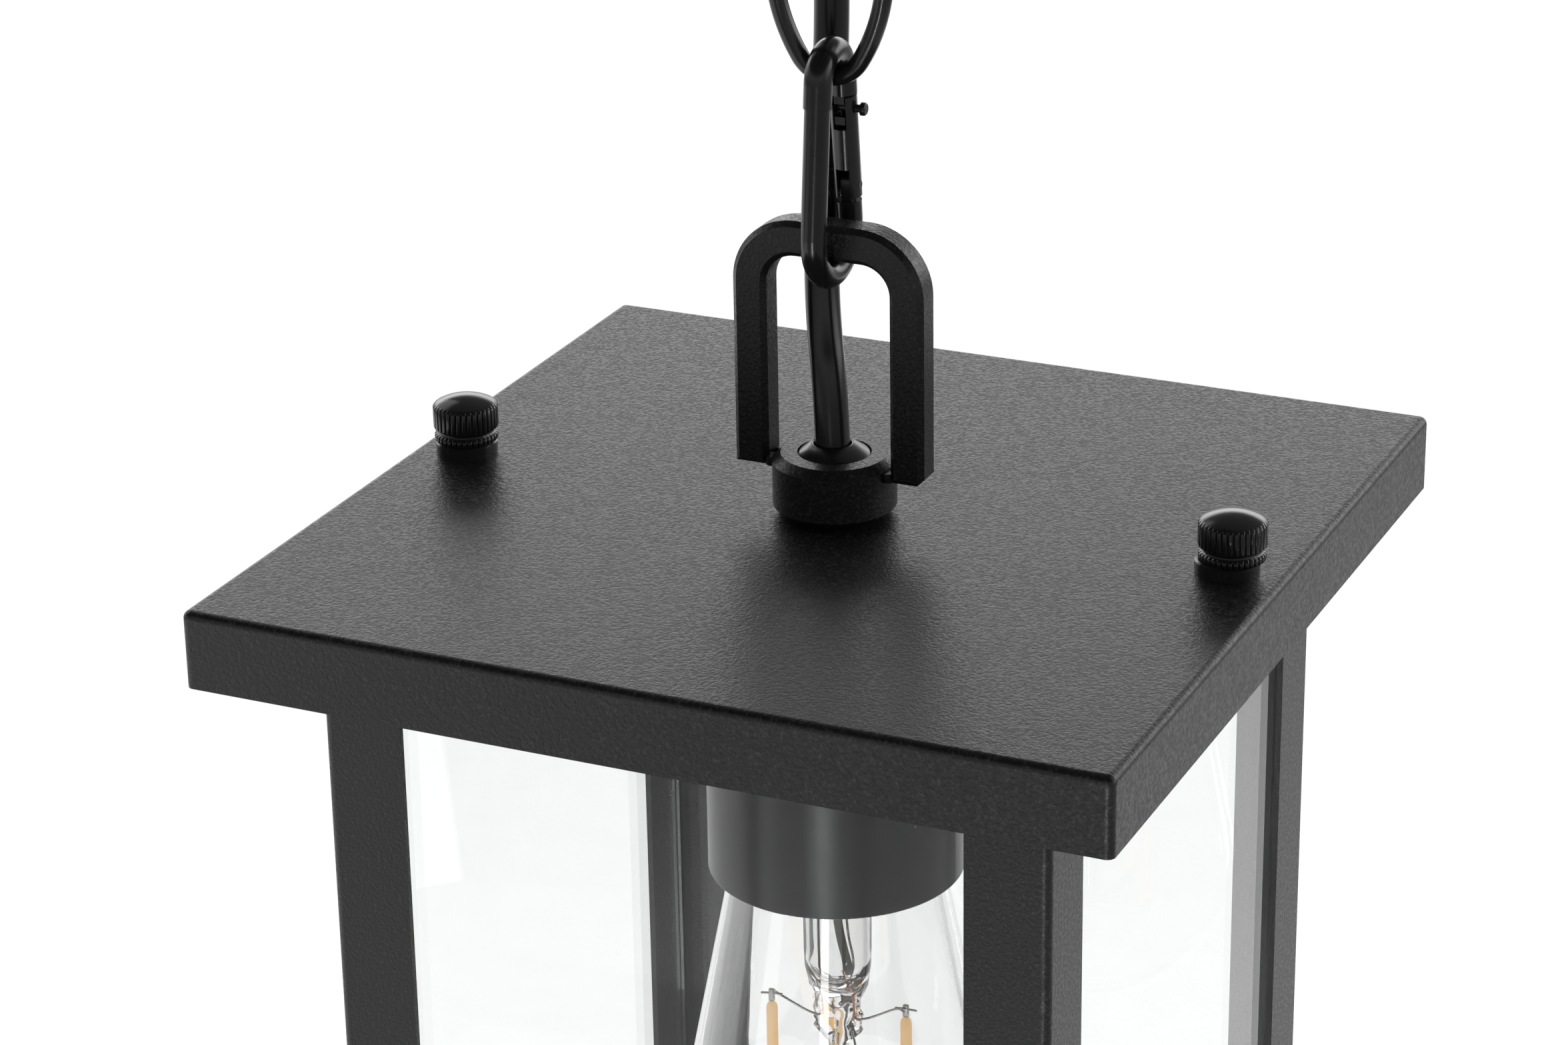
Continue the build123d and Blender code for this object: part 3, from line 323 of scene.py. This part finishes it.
def clear_glass(name, tint, edge_tint=None, half=None):
    """Clear glass; an edge tint colours it near the upright corners of a box of that half width."""
    material, tree, shader, vector = start_material(name, roughness=0.0)
    shader.inputs["Transmission Weight"].default_value = 1.0
    shader.inputs["IOR"].default_value = GLASS_INDEX
    smear = add_noise(tree, vector, 18.0)
    color = mix_color(tree, smear, tint, tuple(min(1.0, c + 0.01) for c in tint))
    if edge_tint:
        split = tree.nodes.new("ShaderNodeSeparateXYZ")
        tree.links.new(vector, split.inputs[0])
        reach = None
        for axis in ("X", "Y"):
            size = tree.nodes.new("ShaderNodeMath")
            size.operation = "ABSOLUTE"
            tree.links.new(split.outputs[axis], size.inputs[0])
            if reach is None:
                reach = size.outputs[0]
            else:
                least = tree.nodes.new("ShaderNodeMath")
                least.operation = "MINIMUM"
                tree.links.new(reach, least.inputs[0])
                tree.links.new(size.outputs[0], least.inputs[1])
                reach = least.outputs[0]
        inner = half - GLASS_EDGE
        near_edge = map_range(tree, reach, inner, inner + GLASS_EDGE_BLEND, 0.0, 1.0)
        color = mix_color(tree, near_edge, color, edge_tint)
    tree.links.new(color, shader.inputs["Base Color"])
    return material


def paint(node, material):
    """A carried-over CAD node takes one material in all its slots."""
    obj = nodes[node]
    if not obj.material_slots:
        obj.data.materials.append(material)
    for slot in obj.material_slots:
        slot.material = material


# ---- mesh helpers -----------------------------------------------------------------------------
def add_object(name, mesh, body, slot, material, *stands_for):
    """A finished mesh becomes a piece that rides on its body."""
    mesh.materials.append(material)
    mesh.shade_smooth()
    piece = bpy.data.objects.new(name, mesh)
    bpy.context.collection.objects.link(piece)
    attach(piece, body)
    if stands_for:
        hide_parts(*stands_for)
    return piece


def tube_mesh(name, points, radius, sides=28):
    """A round tube along close points, with its ends closed."""
    rings = []
    direction = (points[1] - points[0]).normalized()
    side = direction.orthogonal().normalized()
    for index, point in enumerate(points):
        before = points[max(index - 1, 0)]
        after = points[min(index + 1, len(points) - 1)]
        direction = (after - before).normalized()
        side = (side - direction * side.dot(direction)).normalized()
        other = direction.cross(side)
        rings.append(
            [
                point + (side * math.cos(turn) + other * math.sin(turn)) * radius
                for turn in (2 * math.pi * k / sides for k in range(sides))
            ]
        )
    mesh = bmesh.new()
    verts = [[mesh.verts.new(corner) for corner in ring] for ring in rings]
    for low, high in zip(verts, verts[1:]):
        for k in range(sides):
            mesh.faces.new((low[k], low[(k + 1) % sides], high[(k + 1) % sides], high[k]))
    mesh.faces.new(list(reversed(verts[0])))
    mesh.faces.new(verts[-1])
    data = bpy.data.meshes.new(name)
    mesh.to_mesh(data)
    mesh.free()
    return data


def turned(name, profile, sides=96, ridges=0, shape=None):
    """A closed profile of (radius, height, groove depth) turned round Z; shape moves each point."""
    mesh = bmesh.new()
    rings = []
    for radius, height, groove in profile:
        if radius == 0:
            rings.append([mesh.verts.new((0, 0, height))])
            continue
        ring = []
        for k in range(sides):
            turn = 2 * math.pi * k / sides
            cut = groove * max(0.0, math.cos(ridges * turn)) ** 3 if groove else 0.0
            reach = radius - cut
            point = Vector((reach * math.cos(turn), reach * math.sin(turn), height))
            ring.append(mesh.verts.new(shape(point) if shape else point))
        rings.append(ring)
    for low, high in zip(rings, rings[1:] + rings[:1]):
        for k in range(sides):
            after = (k + 1) % sides
            corners = [low[k % len(low)], low[after % len(low)]]
            corners += [high[after % len(high)], high[k % len(high)]]
            unique = list(dict.fromkeys(corners))
            if len(unique) > 2:
                mesh.faces.new(unique)
    bmesh.ops.recalc_face_normals(mesh, faces=mesh.faces)
    data = bpy.data.meshes.new(name)
    mesh.to_mesh(data)
    mesh.free()
    return data


def joined(name, parts):
    """Several meshes, each moved by its own offset, as one mesh."""
    mesh = bmesh.new()
    for part, offset in parts:
        part.transform(Matrix.Translation(Vector(offset)))
        mesh.from_mesh(part)
        bpy.data.meshes.remove(part)
    data = bpy.data.meshes.new(name)
    mesh.to_mesh(data)
    mesh.free()
    return data


def scaled(points):
    """Points in millimetres from the roof's top become points in the frame."""
    return [Vector((x * MM, y * MM, ROOF_Z + z * MM)) for x, y, z in points]


def bent(points, steps=10):
    """Close points on a smooth line through a few points."""
    ends = [2 * points[0] - points[1]] + points + [2 * points[-1] - points[-2]]
    line = []
    for a, b, c, d in zip(ends, ends[1:], ends[2:], ends[3:]):
        for k in range(steps):
            t = k / steps
            slope = (c - a) * t
            curve = (2 * a - 5 * b + 4 * c - d) * t * t
            twist = (3 * b - a - 3 * c + d) * t**3
            line.append(0.5 * (2 * b + slope + curve + twist))
    line.append(points[-1])
    return line


# ---- power cable: its route and its cuts, in millimetres above the roof -------------------------
CABLE_DIAMETER = 6.6 * MM
CABLE_ROUTE = [
    (0, 0, -15.7),
    (0, 0, 17),
    (-6.3, 8.2, 41),
    (-6.2, 11.5, 66),
    (-6.0, 15.0, 90),
    (-7.4, 17.2, 114),
    (-9.4, 16.8, 140),
    (-10.4, 15.6, 168),
    (-10.2, 15.8, 196),
    (-9.0, 15.2, 222),
    (-6.6, 10.4, 246),
    (0, 0, 270.4),
    (0, 0, 298.3),
]
CABLE_BODIES = ["roof", "lower_hook", "link_1", "link_2", "link_3", "upper_hook", "ceiling_fitting"]
CABLE_CUTS = [63.0, 103.5, 144.0, 184.5, 225.0]
CABLE_STEPS = 24


def route_points():
    """Close points on one smooth NURBS line through the cable's route."""
    curve = bpy.data.curves.new("cable_route", "CURVE")
    curve.dimensions = "3D"
    spline = curve.splines.new("NURBS")
    spline.points.add(len(CABLE_ROUTE) - 1)
    for point, place in zip(spline.points, scaled(CABLE_ROUTE)):
        point.co = (*place, 1.0)
    spline.order_u = 3
    spline.use_endpoint_u = True
    spline.resolution_u = CABLE_STEPS
    holder = bpy.data.objects.new("cable_route", curve)
    bpy.context.collection.objects.link(holder)
    bpy.context.view_layer.update()
    line = bpy.data.meshes.new_from_object(holder)
    points = [vertex.co.copy() for vertex in line.vertices]
    bpy.data.meshes.remove(line)
    bpy.data.objects.remove(holder)
    return points


def cut_at(points, level):
    """The index of the first point at or above a height."""
    return next(k for k, point in enumerate(points) if point.z >= level)


def add_cable(material):
    """The cable in six tubes that meet end to end, cut at set heights along its route."""
    points = route_points()
    marks = [0]
    for level in CABLE_CUTS:
        marks.append(cut_at(points, ROOF_Z + level * MM))
    marks.append(len(points) - 1)
    for number, (lower, upper) in enumerate(zip(CABLE_BODIES, CABLE_BODIES[1:])):
        stretch = points[marks[number] : marks[number + 1] + 1]
        data = tube_mesh(f"cable_{number + 1}", stretch, CABLE_DIAMETER / 2)
        data.materials.append(material)
        data.shade_smooth()
        piece = bpy.data.objects.new(f"cable_{number + 1}", data)
        bpy.context.collection.objects.link(piece)
        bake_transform(piece)
        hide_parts("power_cable")


# ---- thumb nuts: glossy, with one set of fine flutes round the head and the foot ---------------
NUT_FLUTES = 36
NUT_SIDES = 10 * NUT_FLUTES
NUT_REST = 0.03
NUT_BORE = 2.6
NUT_BORE_TOP = 6.2
NUT_SHOULDER = 7.45
NUT_DOME_EDGE = 0.5
NUT_DOME_STEPS = 12


def add_thumb_nut(side, material):
    """One thumb nut in place of the plain one."""
    low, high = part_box(f"{side}_thumb_nut")
    radius = (high[0] - low[0]) / 2 / MM
    height = (high[2] - low[2]) / MM
    edge = radius - NUT_DOME_EDGE
    crown = height - NUT_SHOULDER
    swell = (edge**2 + crown**2) / (2 * crown)
    profile = [(0, NUT_BORE_TOP, 0), (NUT_BORE, NUT_BORE_TOP, 0), (NUT_BORE, NUT_REST, 0)]
    profile += [(radius - 0.8, NUT_REST, 0), (radius - 0.35, 0.1, 0.25), (radius - 0.15, 0.35, 0.5)]
    profile += [(radius - 0.15, 1.2, 0.5), (radius - 0.35, 1.45, 0.2), (radius - 0.9, 1.6, 0)]
    profile += [(radius - 0.9, 2.45, 0), (radius - 0.4, 2.6, 0), (radius - 0.08, 2.75, 0.35)]
    profile += [(radius, 3.0, 0.55), (radius, 6.9, 0.55), (radius - 0.2, 7.2, 0.25)]
    profile += [(edge, NUT_SHOULDER, 0)]
    for k in range(1, NUT_DOME_STEPS):
        r = edge * (1 - k / NUT_DOME_STEPS)
        profile.append((r, height - swell + math.sqrt(swell**2 - r**2), 0))
    profile.append((0, height, 0))
    section = [(r * MM, z * MM, groove * MM) for r, z, groove in profile]
    mesh = turned(f"{side}_nut", section, NUT_SIDES, NUT_FLUTES)
    place = ((low[0] + high[0]) / 2, (low[1] + high[1]) / 2, low[2])
    mesh.transform(Matrix.Translation(place))
    add_object(f"{side}_nut", mesh, f"{side}_nut", "nut_black", material, f"{side}_thumb_nut")


# ---- cord bushings: a low cone turned in fine steps, its mouth close round the cable ----------
BUSHING_STEPS = 8
BUSHING_MOUTH = 3.55
BUSHING_REACH = 6.93
BUSHING_HEIGHT = 5.3
BUSHING_FALL = 1.45
LEAN_START = 6.4
LEAN_WIDTH = 2.4


def bushing_profile(height):
    """Half of the bushing's section, in millimetres, from the bore's foot round to its rim."""
    points = [(BUSHING_MOUTH, 0.0), (BUSHING_MOUTH, height - 0.35)]
    points += [(BUSHING_MOUTH + 0.12, height - 0.1), (BUSHING_MOUTH + 0.35, height)]
    points += [(BUSHING_MOUTH + 0.6, height - 0.08)]
    inner = BUSHING_MOUTH + 0.75
    wide = (BUSHING_REACH - inner) / BUSHING_STEPS
    for k in range(BUSHING_STEPS):
        r = inner + wide * k
        z = height - 0.22 - BUSHING_FALL * (k / BUSHING_STEPS) ** 1.15
        points += [(r, z), (r + 0.75 * wide, z - 0.05)]
    points += [(BUSHING_REACH, height - 1.8), (BUSHING_REACH, 0.0)]
    return points


def add_bushing(level, body, up, material):
    """One stepped bushing; up is 1 where it faces up and -1 where it faces down."""
    low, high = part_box(f"{level}_cord_bushing")
    height = BUSHING_HEIGHT * MM
    mouth = low[2] + height if up > 0 else high[2] - height
    centre = min(route_points(), key=lambda point: abs(point.z - mouth))

    def lean(point):
        """The point, moved towards the cable: fully at the mouth, not at the rim or the foot."""
        inward = (LEAN_START - math.hypot(point.x, point.y) / MM) / LEAN_WIDTH
        inward = min(1.0, max(0.0, inward))
        return point + Vector((centre.x, up * centre.y, 0)) * inward * (point.z / height)

    profile = [(r * MM, z * MM, 0.0) for r, z in bushing_profile(height / MM)]
    mesh = turned(f"{level}_bushing", profile, shape=lean)
    if up < 0:
        mesh.transform(Matrix.Rotation(math.pi, 4, "X"))
    mesh.transform(Matrix.Translation((0, 0, low[2] if up > 0 else high[2])))
    add_object(f"{level}_bushing", mesh, body, "black_plastic", material, f"{level}_cord_bushing")


# ---- inside the bulb, in millimetres; the press lies between two depths below the roof's top ---
STEM_RADIUS = 6.7
STEM_WALL = 0.8
STEM_SIDES = 72
PRESS_TOP = 98.0
PRESS_FOOT = 113.0
LUMPS_PER_METRE = 420.0
EXHAUST_RADIUS = 0.9
EXHAUST_BORE = 0.7
EXHAUST_SIDES = 24
FILAMENT_RING = 13.7
FILAMENT_RADIUS = 1.2
FILAMENT_ANGLES = (9, 110, 189, 290)
FILAMENT_RINGS = 64
FILAMENT_END = 1.4
TAB_SIZE = (1.2, 0.45, 2.8)
TAB_GAP = 1.3
CROSS_REACH = 2.2
WIRE = 0.25
WIRE_SIDES = 12
IN_PLACE = (0, 0, 0)


def squeeze(point):
    """The stem's press: the round tube pinched flat and left lumpy, the rod below it round."""
    depth = (ROOF_Z - point.z) / MM
    above = max(0.0, min(1.0, (depth - PRESS_TOP) / 4.0))
    below = max(0.0, min(1.0, (PRESS_FOOT - depth) / 2.5))
    pinch = above * below
    lump = noise.noise(point * LUMPS_PER_METRE)
    wide = 1.0 + pinch * (0.35 + 0.25 * lump)
    thin = 1.0 - pinch * (0.32 - 0.22 * lump)
    return Vector((point.x * wide, point.y * thin, point.z))


def add_stem(material):
    """The glass stem: flare, tube, press and centre rod, with the thin exhaust tube inside."""
    low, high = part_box("bulb_stem")
    top = (high[2] - ROOF_Z) / MM
    end = (low[2] - ROOF_Z) / MM
    outside = [(12.0, top), (8.4, top - 3.5), (7.1, top - 6.5), (STEM_RADIUS, top - 10)]
    outside += [(STEM_RADIUS, -92), (STEM_RADIUS - 0.15, -96), (6.0, -98.5), (4.9, -100.5)]
    outside += [(3.9, -102), (3.5, -103.5)]
    outside += [(3.7 - 0.25 * (k % 2), -104.5 - k) for k in range(7)]
    outside += [(3.0, -112), (2.3, -113), (2.0, -114.5), (2.0, end + 1), (1.5, end + 0.2), (0, end)]
    bore_radius = STEM_RADIUS - STEM_WALL
    inside = [(0, -101), (2.2, -100.4), (4.4, -98.6), (5.6, -96.5), (bore_radius, -94)]
    inside += [(bore_radius, top - 10), (6.3, top - 6.3), (7.7, top - 3.2), (11.3, top)]
    section = [(r * MM, ROOF_Z + z * MM, 0.0) for r, z in outside + inside]
    tube = turned("stem_tube", section, STEM_SIDES, shape=squeeze)
    line = bent(scaled([(-1.0, 0, top - 1), (-0.4, 0.4, -84), (2.0, 1.4, -99)]))
    thin = tube_mesh("exhaust", line, EXHAUST_RADIUS * MM, EXHAUST_SIDES)
    bore = tube_mesh("exhaust_bore", line[1:-1], EXHAUST_BORE * MM, EXHAUST_SIDES)
    bore.flip_normals()
    mesh = joined("stem", [(tube, IN_PLACE), (thin, IN_PLACE), (bore, IN_PLACE)])
    add_object("stem", mesh, "bulb_glass", "bulb_glass", material, "bulb_stem")


def filament_spots():
    """Each filament's place round the stem: x, y and the way out from the stem."""
    spots = []
    for angle in FILAMENT_ANGLES:
        out = math.radians(angle)
        spots.append((FILAMENT_RING * math.cos(out), FILAMENT_RING * math.sin(out), out))
    return spots


def add_filaments(material):
    """Four long filaments with rounded ends and a slightly uneven coat."""
    low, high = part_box("filaments")
    parts = []
    for x, y, _ in filament_spots():
        rings = []
        for k in range(FILAMENT_RINGS + 1):
            z = low[2] + (high[2] - low[2]) * k / FILAMENT_RINGS
            near_end = min(z - low[2], high[2] - z) / MM
            fall = math.sqrt(max(0.0, 1 - max(0.0, 1 - near_end / FILAMENT_END) ** 2))
            swell = 0.96 + 0.04 * noise.noise(Vector((x, y, z / MM * 0.6)))
            rings.append((FILAMENT_RADIUS * MM * fall * swell, z, 0.0))
        rings[0] = (0, low[2], 0)
        rings[-1] = (0, high[2], 0)
        parts.append((turned("filament", rings, 28), (x * MM, y * MM, 0)))
    mesh = joined("filament_set", parts)
    add_object("filament_set", mesh, "bulb_glass", "filament", material, "filaments")


def strip(centre, across, size):
    """A small flat strip that stands upright, size in millimetres; across is its turn about Z."""
    width, thick, height = (side * MM for side in size)
    outline = [(-0.5, -0.5), (0.5, -0.5), (0.5, 0.5), (-0.5, 0.5)]
    mesh = bmesh.new()
    rings = []
    for level, scale in ((-0.5, 0.8), (-0.42, 1.0), (0.42, 1.0), (0.5, 0.8)):
        corners = [(a * width * scale, b * thick, level * height) for a, b in outline]
        rings.append([mesh.verts.new(corner) for corner in corners])
    for lower, upper in zip(rings, rings[1:]):
        for k in range(4):
            mesh.faces.new((lower[k], lower[(k + 1) % 4], upper[(k + 1) % 4], upper[k]))
    mesh.faces.new(rings[0][::-1])
    mesh.faces.new(rings[-1])
    data = bpy.data.meshes.new("strip")
    mesh.to_mesh(data)
    mesh.free()
    data.transform(Matrix.Translation(centre) @ Matrix.Rotation(across, 4, "Z"))
    return data


def add_wires(metal, copper):
    """Tabs and support wires of nickel, and the two short sealing wires of copper."""
    low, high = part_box("filaments")
    foot = (low[2] - ROOF_Z) / MM
    top = (high[2] - ROOF_Z) / MM
    hub = (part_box("filament_supports")[0][2] - ROOF_Z) / MM + 0.3
    neck = (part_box("bulb_stem")[1][2] - ROOF_Z) / MM
    parts = []

    def wire(points, radius=WIRE):
        """One bent wire, through points in millimetres, among the parts."""
        parts.append((tube_mesh("wire", bent(scaled(points)), radius * MM, WIRE_SIDES), IN_PLACE))

    for x, y, across in filament_spots():
        for centre in scaled([(x, y, top + TAB_GAP), (x, y, foot - TAB_GAP)]):
            parts.append((strip(centre, across, TAB_SIZE), IN_PLACE))
        dx = CROSS_REACH * math.cos(across)
        dy = CROSS_REACH * math.sin(across)
        bar = top + 1.7
        wire([(x - dx, y - dy, bar), (x, y, bar), (x + dx, y + dy, bar - 0.2)])
        start = (x + 0.1 * y, y - 0.1 * x, bar)
        elbow = (0.85 * x, 0.85 * y, bar - 0.3)
        wire([start, elbow, (0.4 * x, 0.4 * y, top - 1.6), (0.2 * x, 0.2 * y, top - 1.2)])
        rise = (0.8 * x, 0.8 * y, hub + 1.2)
        wire([(0, 0, hub), (0.3 * x, 0.3 * y, hub + 0.1), rise, (x, y, foot - 1.5)])
    wire([(0, 0, hub), (0, 0, hub + 1.5), (0, 0, hub + 3.4)], 0.5)
    loop = [(3.2, -1.0, -110), (4.6, -2.6, -112.5), (3.2, -3.6, -114)]
    wire(loop + [(1.2, -3.0, -112.8), (0.8, -1.9, -110.4)])
    wire([(-3.4, -1.5, neck - 1), (-3.5, -1.6, -84), (-3.4, -1.4, -97), (-2.8, -0.9, -103)])
    wire([(0.2, 2.6, neck - 1), (0.9, 2.4, -86), (2.2, 2.6, -96), (2.6, 1.0, -101)])
    mesh = joined("support_wires", parts)
    add_object("support_wires", mesh, "bulb_glass", "nickel", metal, "filament_supports")
    parts.clear()
    wire([(2.6, 1.0, -101), (2.8, 0.6, -104), (3.0, 0.2, -107.5)], 0.3)
    wire([(-2.8, -0.9, -103), (-2.9, -0.5, -105), (-3.2, -0.4, -107.5)], 0.3)
    mesh = joined("sealing_wires", parts)
    add_object("sealing_wires", mesh, "bulb_glass", "brass", copper, "filament_supports")


# ---- the build --------------------------------------------------------------------------------
add_camera()
add_world()
add_floor()
wash_low = cad_low[2] - FLOOR_DROP
add_area("floor_wash", (-2.2, 1.9, cad_low[2] - 0.2), (-2.2, 1.9, wash_low), (6.0, 6.0), 92.0)
add_area("key", (1.2, 0.8, 0.6), (0, 0, ROOF_Z), (0.9, 0.9), 1.8)
add_area("fill", (-1.2, 0.6, 0.5), (0, 0, ROOF_Z), (0.9, 0.9), 2.2)
add_area("front_strip", (0.31, -1.45, ROOF_Z - 0.6), (0, 0, ROOF_Z + 0.05), (0.2, 0.8), 4.5)
add_area("front_left", (-1.1, -1.1, ROOF_Z - 0.6), (0, 0, ROOF_Z - 0.05), (0.8, 0.8), 1.8)

pane_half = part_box("front_pane")[1][0]
coat = powder_coat()
hook_black = satin_black("hook_black", (0.17, 0.24))
nut_black = satin_black("nut_black", (0.13, 0.19), (0.016, 0.016, 0.0165))
cover_black = dusty(
    "cover_black", (0.0085, 0.009, 0.0105), (0.0105, 0.011, 0.013), (0.28, 0.32)
)
cable_black = flecked(
    "cable_black", (0.010, 0.010, 0.011), (0.014, 0.014, 0.015), (0.18, 0.26), 60, 500, 0.00001
)
black_plastic = flecked(
    "black_plastic", (0.010, 0.010, 0.011), (0.016, 0.016, 0.017), (0.22, 0.32), 90, 900, 0.000008
)
zinc = flecked("zinc", (0.50, 0.52, 0.55), (0.64, 0.65, 0.66), (0.28, 0.42), 160, 900, 0.00001, 1.0)
green_screw = flecked(
    "green_screw", (0.05, 0.28, 0.10), (0.09, 0.36, 0.15), (0.3, 0.4), 180, 900, 0.00001, 1.0
)
brass = flecked(
    "brass", (0.66, 0.44, 0.17), (0.78, 0.56, 0.26), (0.2, 0.34), 200, 900, 0.000006, 1.0
)
copper = flecked(
    "copper", (0.72, 0.30, 0.16), (0.85, 0.42, 0.24), (0.2, 0.34), 600, 2500, 0.000004, 1.0
)
nickel = flecked(
    "nickel", (0.50, 0.49, 0.47), (0.64, 0.63, 0.61), (0.2, 0.34), 200, 1200, 0.000005, 1.0
)
spring_steel = flecked(
    "spring_steel", (0.34, 0.34, 0.35), (0.46, 0.46, 0.47), (0.22, 0.36), 300, 1500, 0.000005, 1.0
)
lead_plastic = flecked(
    "lead_plastic", (0.66, 0.66, 0.64), (0.74, 0.74, 0.72), (0.35, 0.45), 120, 900, 0.00001
)
connector_plastic = flecked(
    "connector_plastic", (0.72, 0.20, 0.03), (0.80, 0.27, 0.05), (0.35, 0.45), 120, 900, 0.00002
)
porcelain = flecked(
    "porcelain", (0.74, 0.73, 0.70), (0.82, 0.81, 0.78), (0.12, 0.2), 60, 500, 0.00001
)
bulb_black = flecked(
    "bulb_black", (0.012, 0.012, 0.014), (0.020, 0.020, 0.024), (0.1, 0.18), 120, 900, 0.000008
)
phosphor = waxy("filament", (0.98, 0.60, 0.22), (1.0, 0.66, 0.34), 0.002, 0.5)
pane_glass = clear_glass("pane_glass", (0.985, 0.995, 0.99), (0.45, 0.75, 0.62), pane_half)
bulb_glass = clear_glass("bulb_glass", (0.99, 0.99, 0.99))

finishes = {
    coat: [
        "ceiling_canopy",
        "canopy_loop",
        "roof_cover",
        "roof_loop",
        "cage_top_frame",
        "cage_bottom_frame",
        "front_left_post",
        "front_right_post",
        "back_left_post",
        "back_right_post",
        "glass_clips",
    ],
    hook_black: [
        "lower_hook_body",
        "lower_hook_gate",
        "lower_gate_pins",
        "upper_hook_body",
        "upper_hook_gate",
        "upper_gate_pins",
        "chain_link_1",
        "chain_link_2",
        "chain_link_3",
    ],
    nut_black: ["left_washer", "right_washer", "threaded_studs", "canopy_screws"],
    cover_black: ["socket_cover", "socket_cap"],
    zinc: [
        "ceiling_bracket",
        "canopy_nipple",
        "canopy_lock_washer",
        "canopy_lock_nut",
        "roof_nipple",
        "roof_lock_washer",
        "roof_lock_nut",
    ],
    green_screw: ["ground_screw"],
    brass: ["screw_shell", "centre_contact"],
    nickel: ["terminal_screws", "bulb_cap_shell", "bulb_contact"],
    spring_steel: ["lower_gate_spring", "upper_gate_spring"],
    lead_plastic: ["supply_leads", "lamp_leads"],
    connector_plastic: ["wire_connectors"],
    porcelain: ["socket_body"],
    bulb_black: ["bulb_insulator"],
    pane_glass: ["front_pane", "back_pane", "left_pane", "right_pane"],
    bulb_glass: ["bulb_envelope"],
}
for material, names in finishes.items():
    for name in names:
        paint(name, material)

add_cable(cable_black)
for side in ("left", "right"):
    add_thumb_nut(side, nut_black)
add_bushing("roof", "roof", 1, black_plastic)
add_bushing("canopy", "ceiling_fitting", -1, black_plastic)
add_stem(bulb_glass)
add_filaments(phosphor)
add_wires(nickel, copper)

bpy.context.scene.view_settings.view_transform = "Standard"
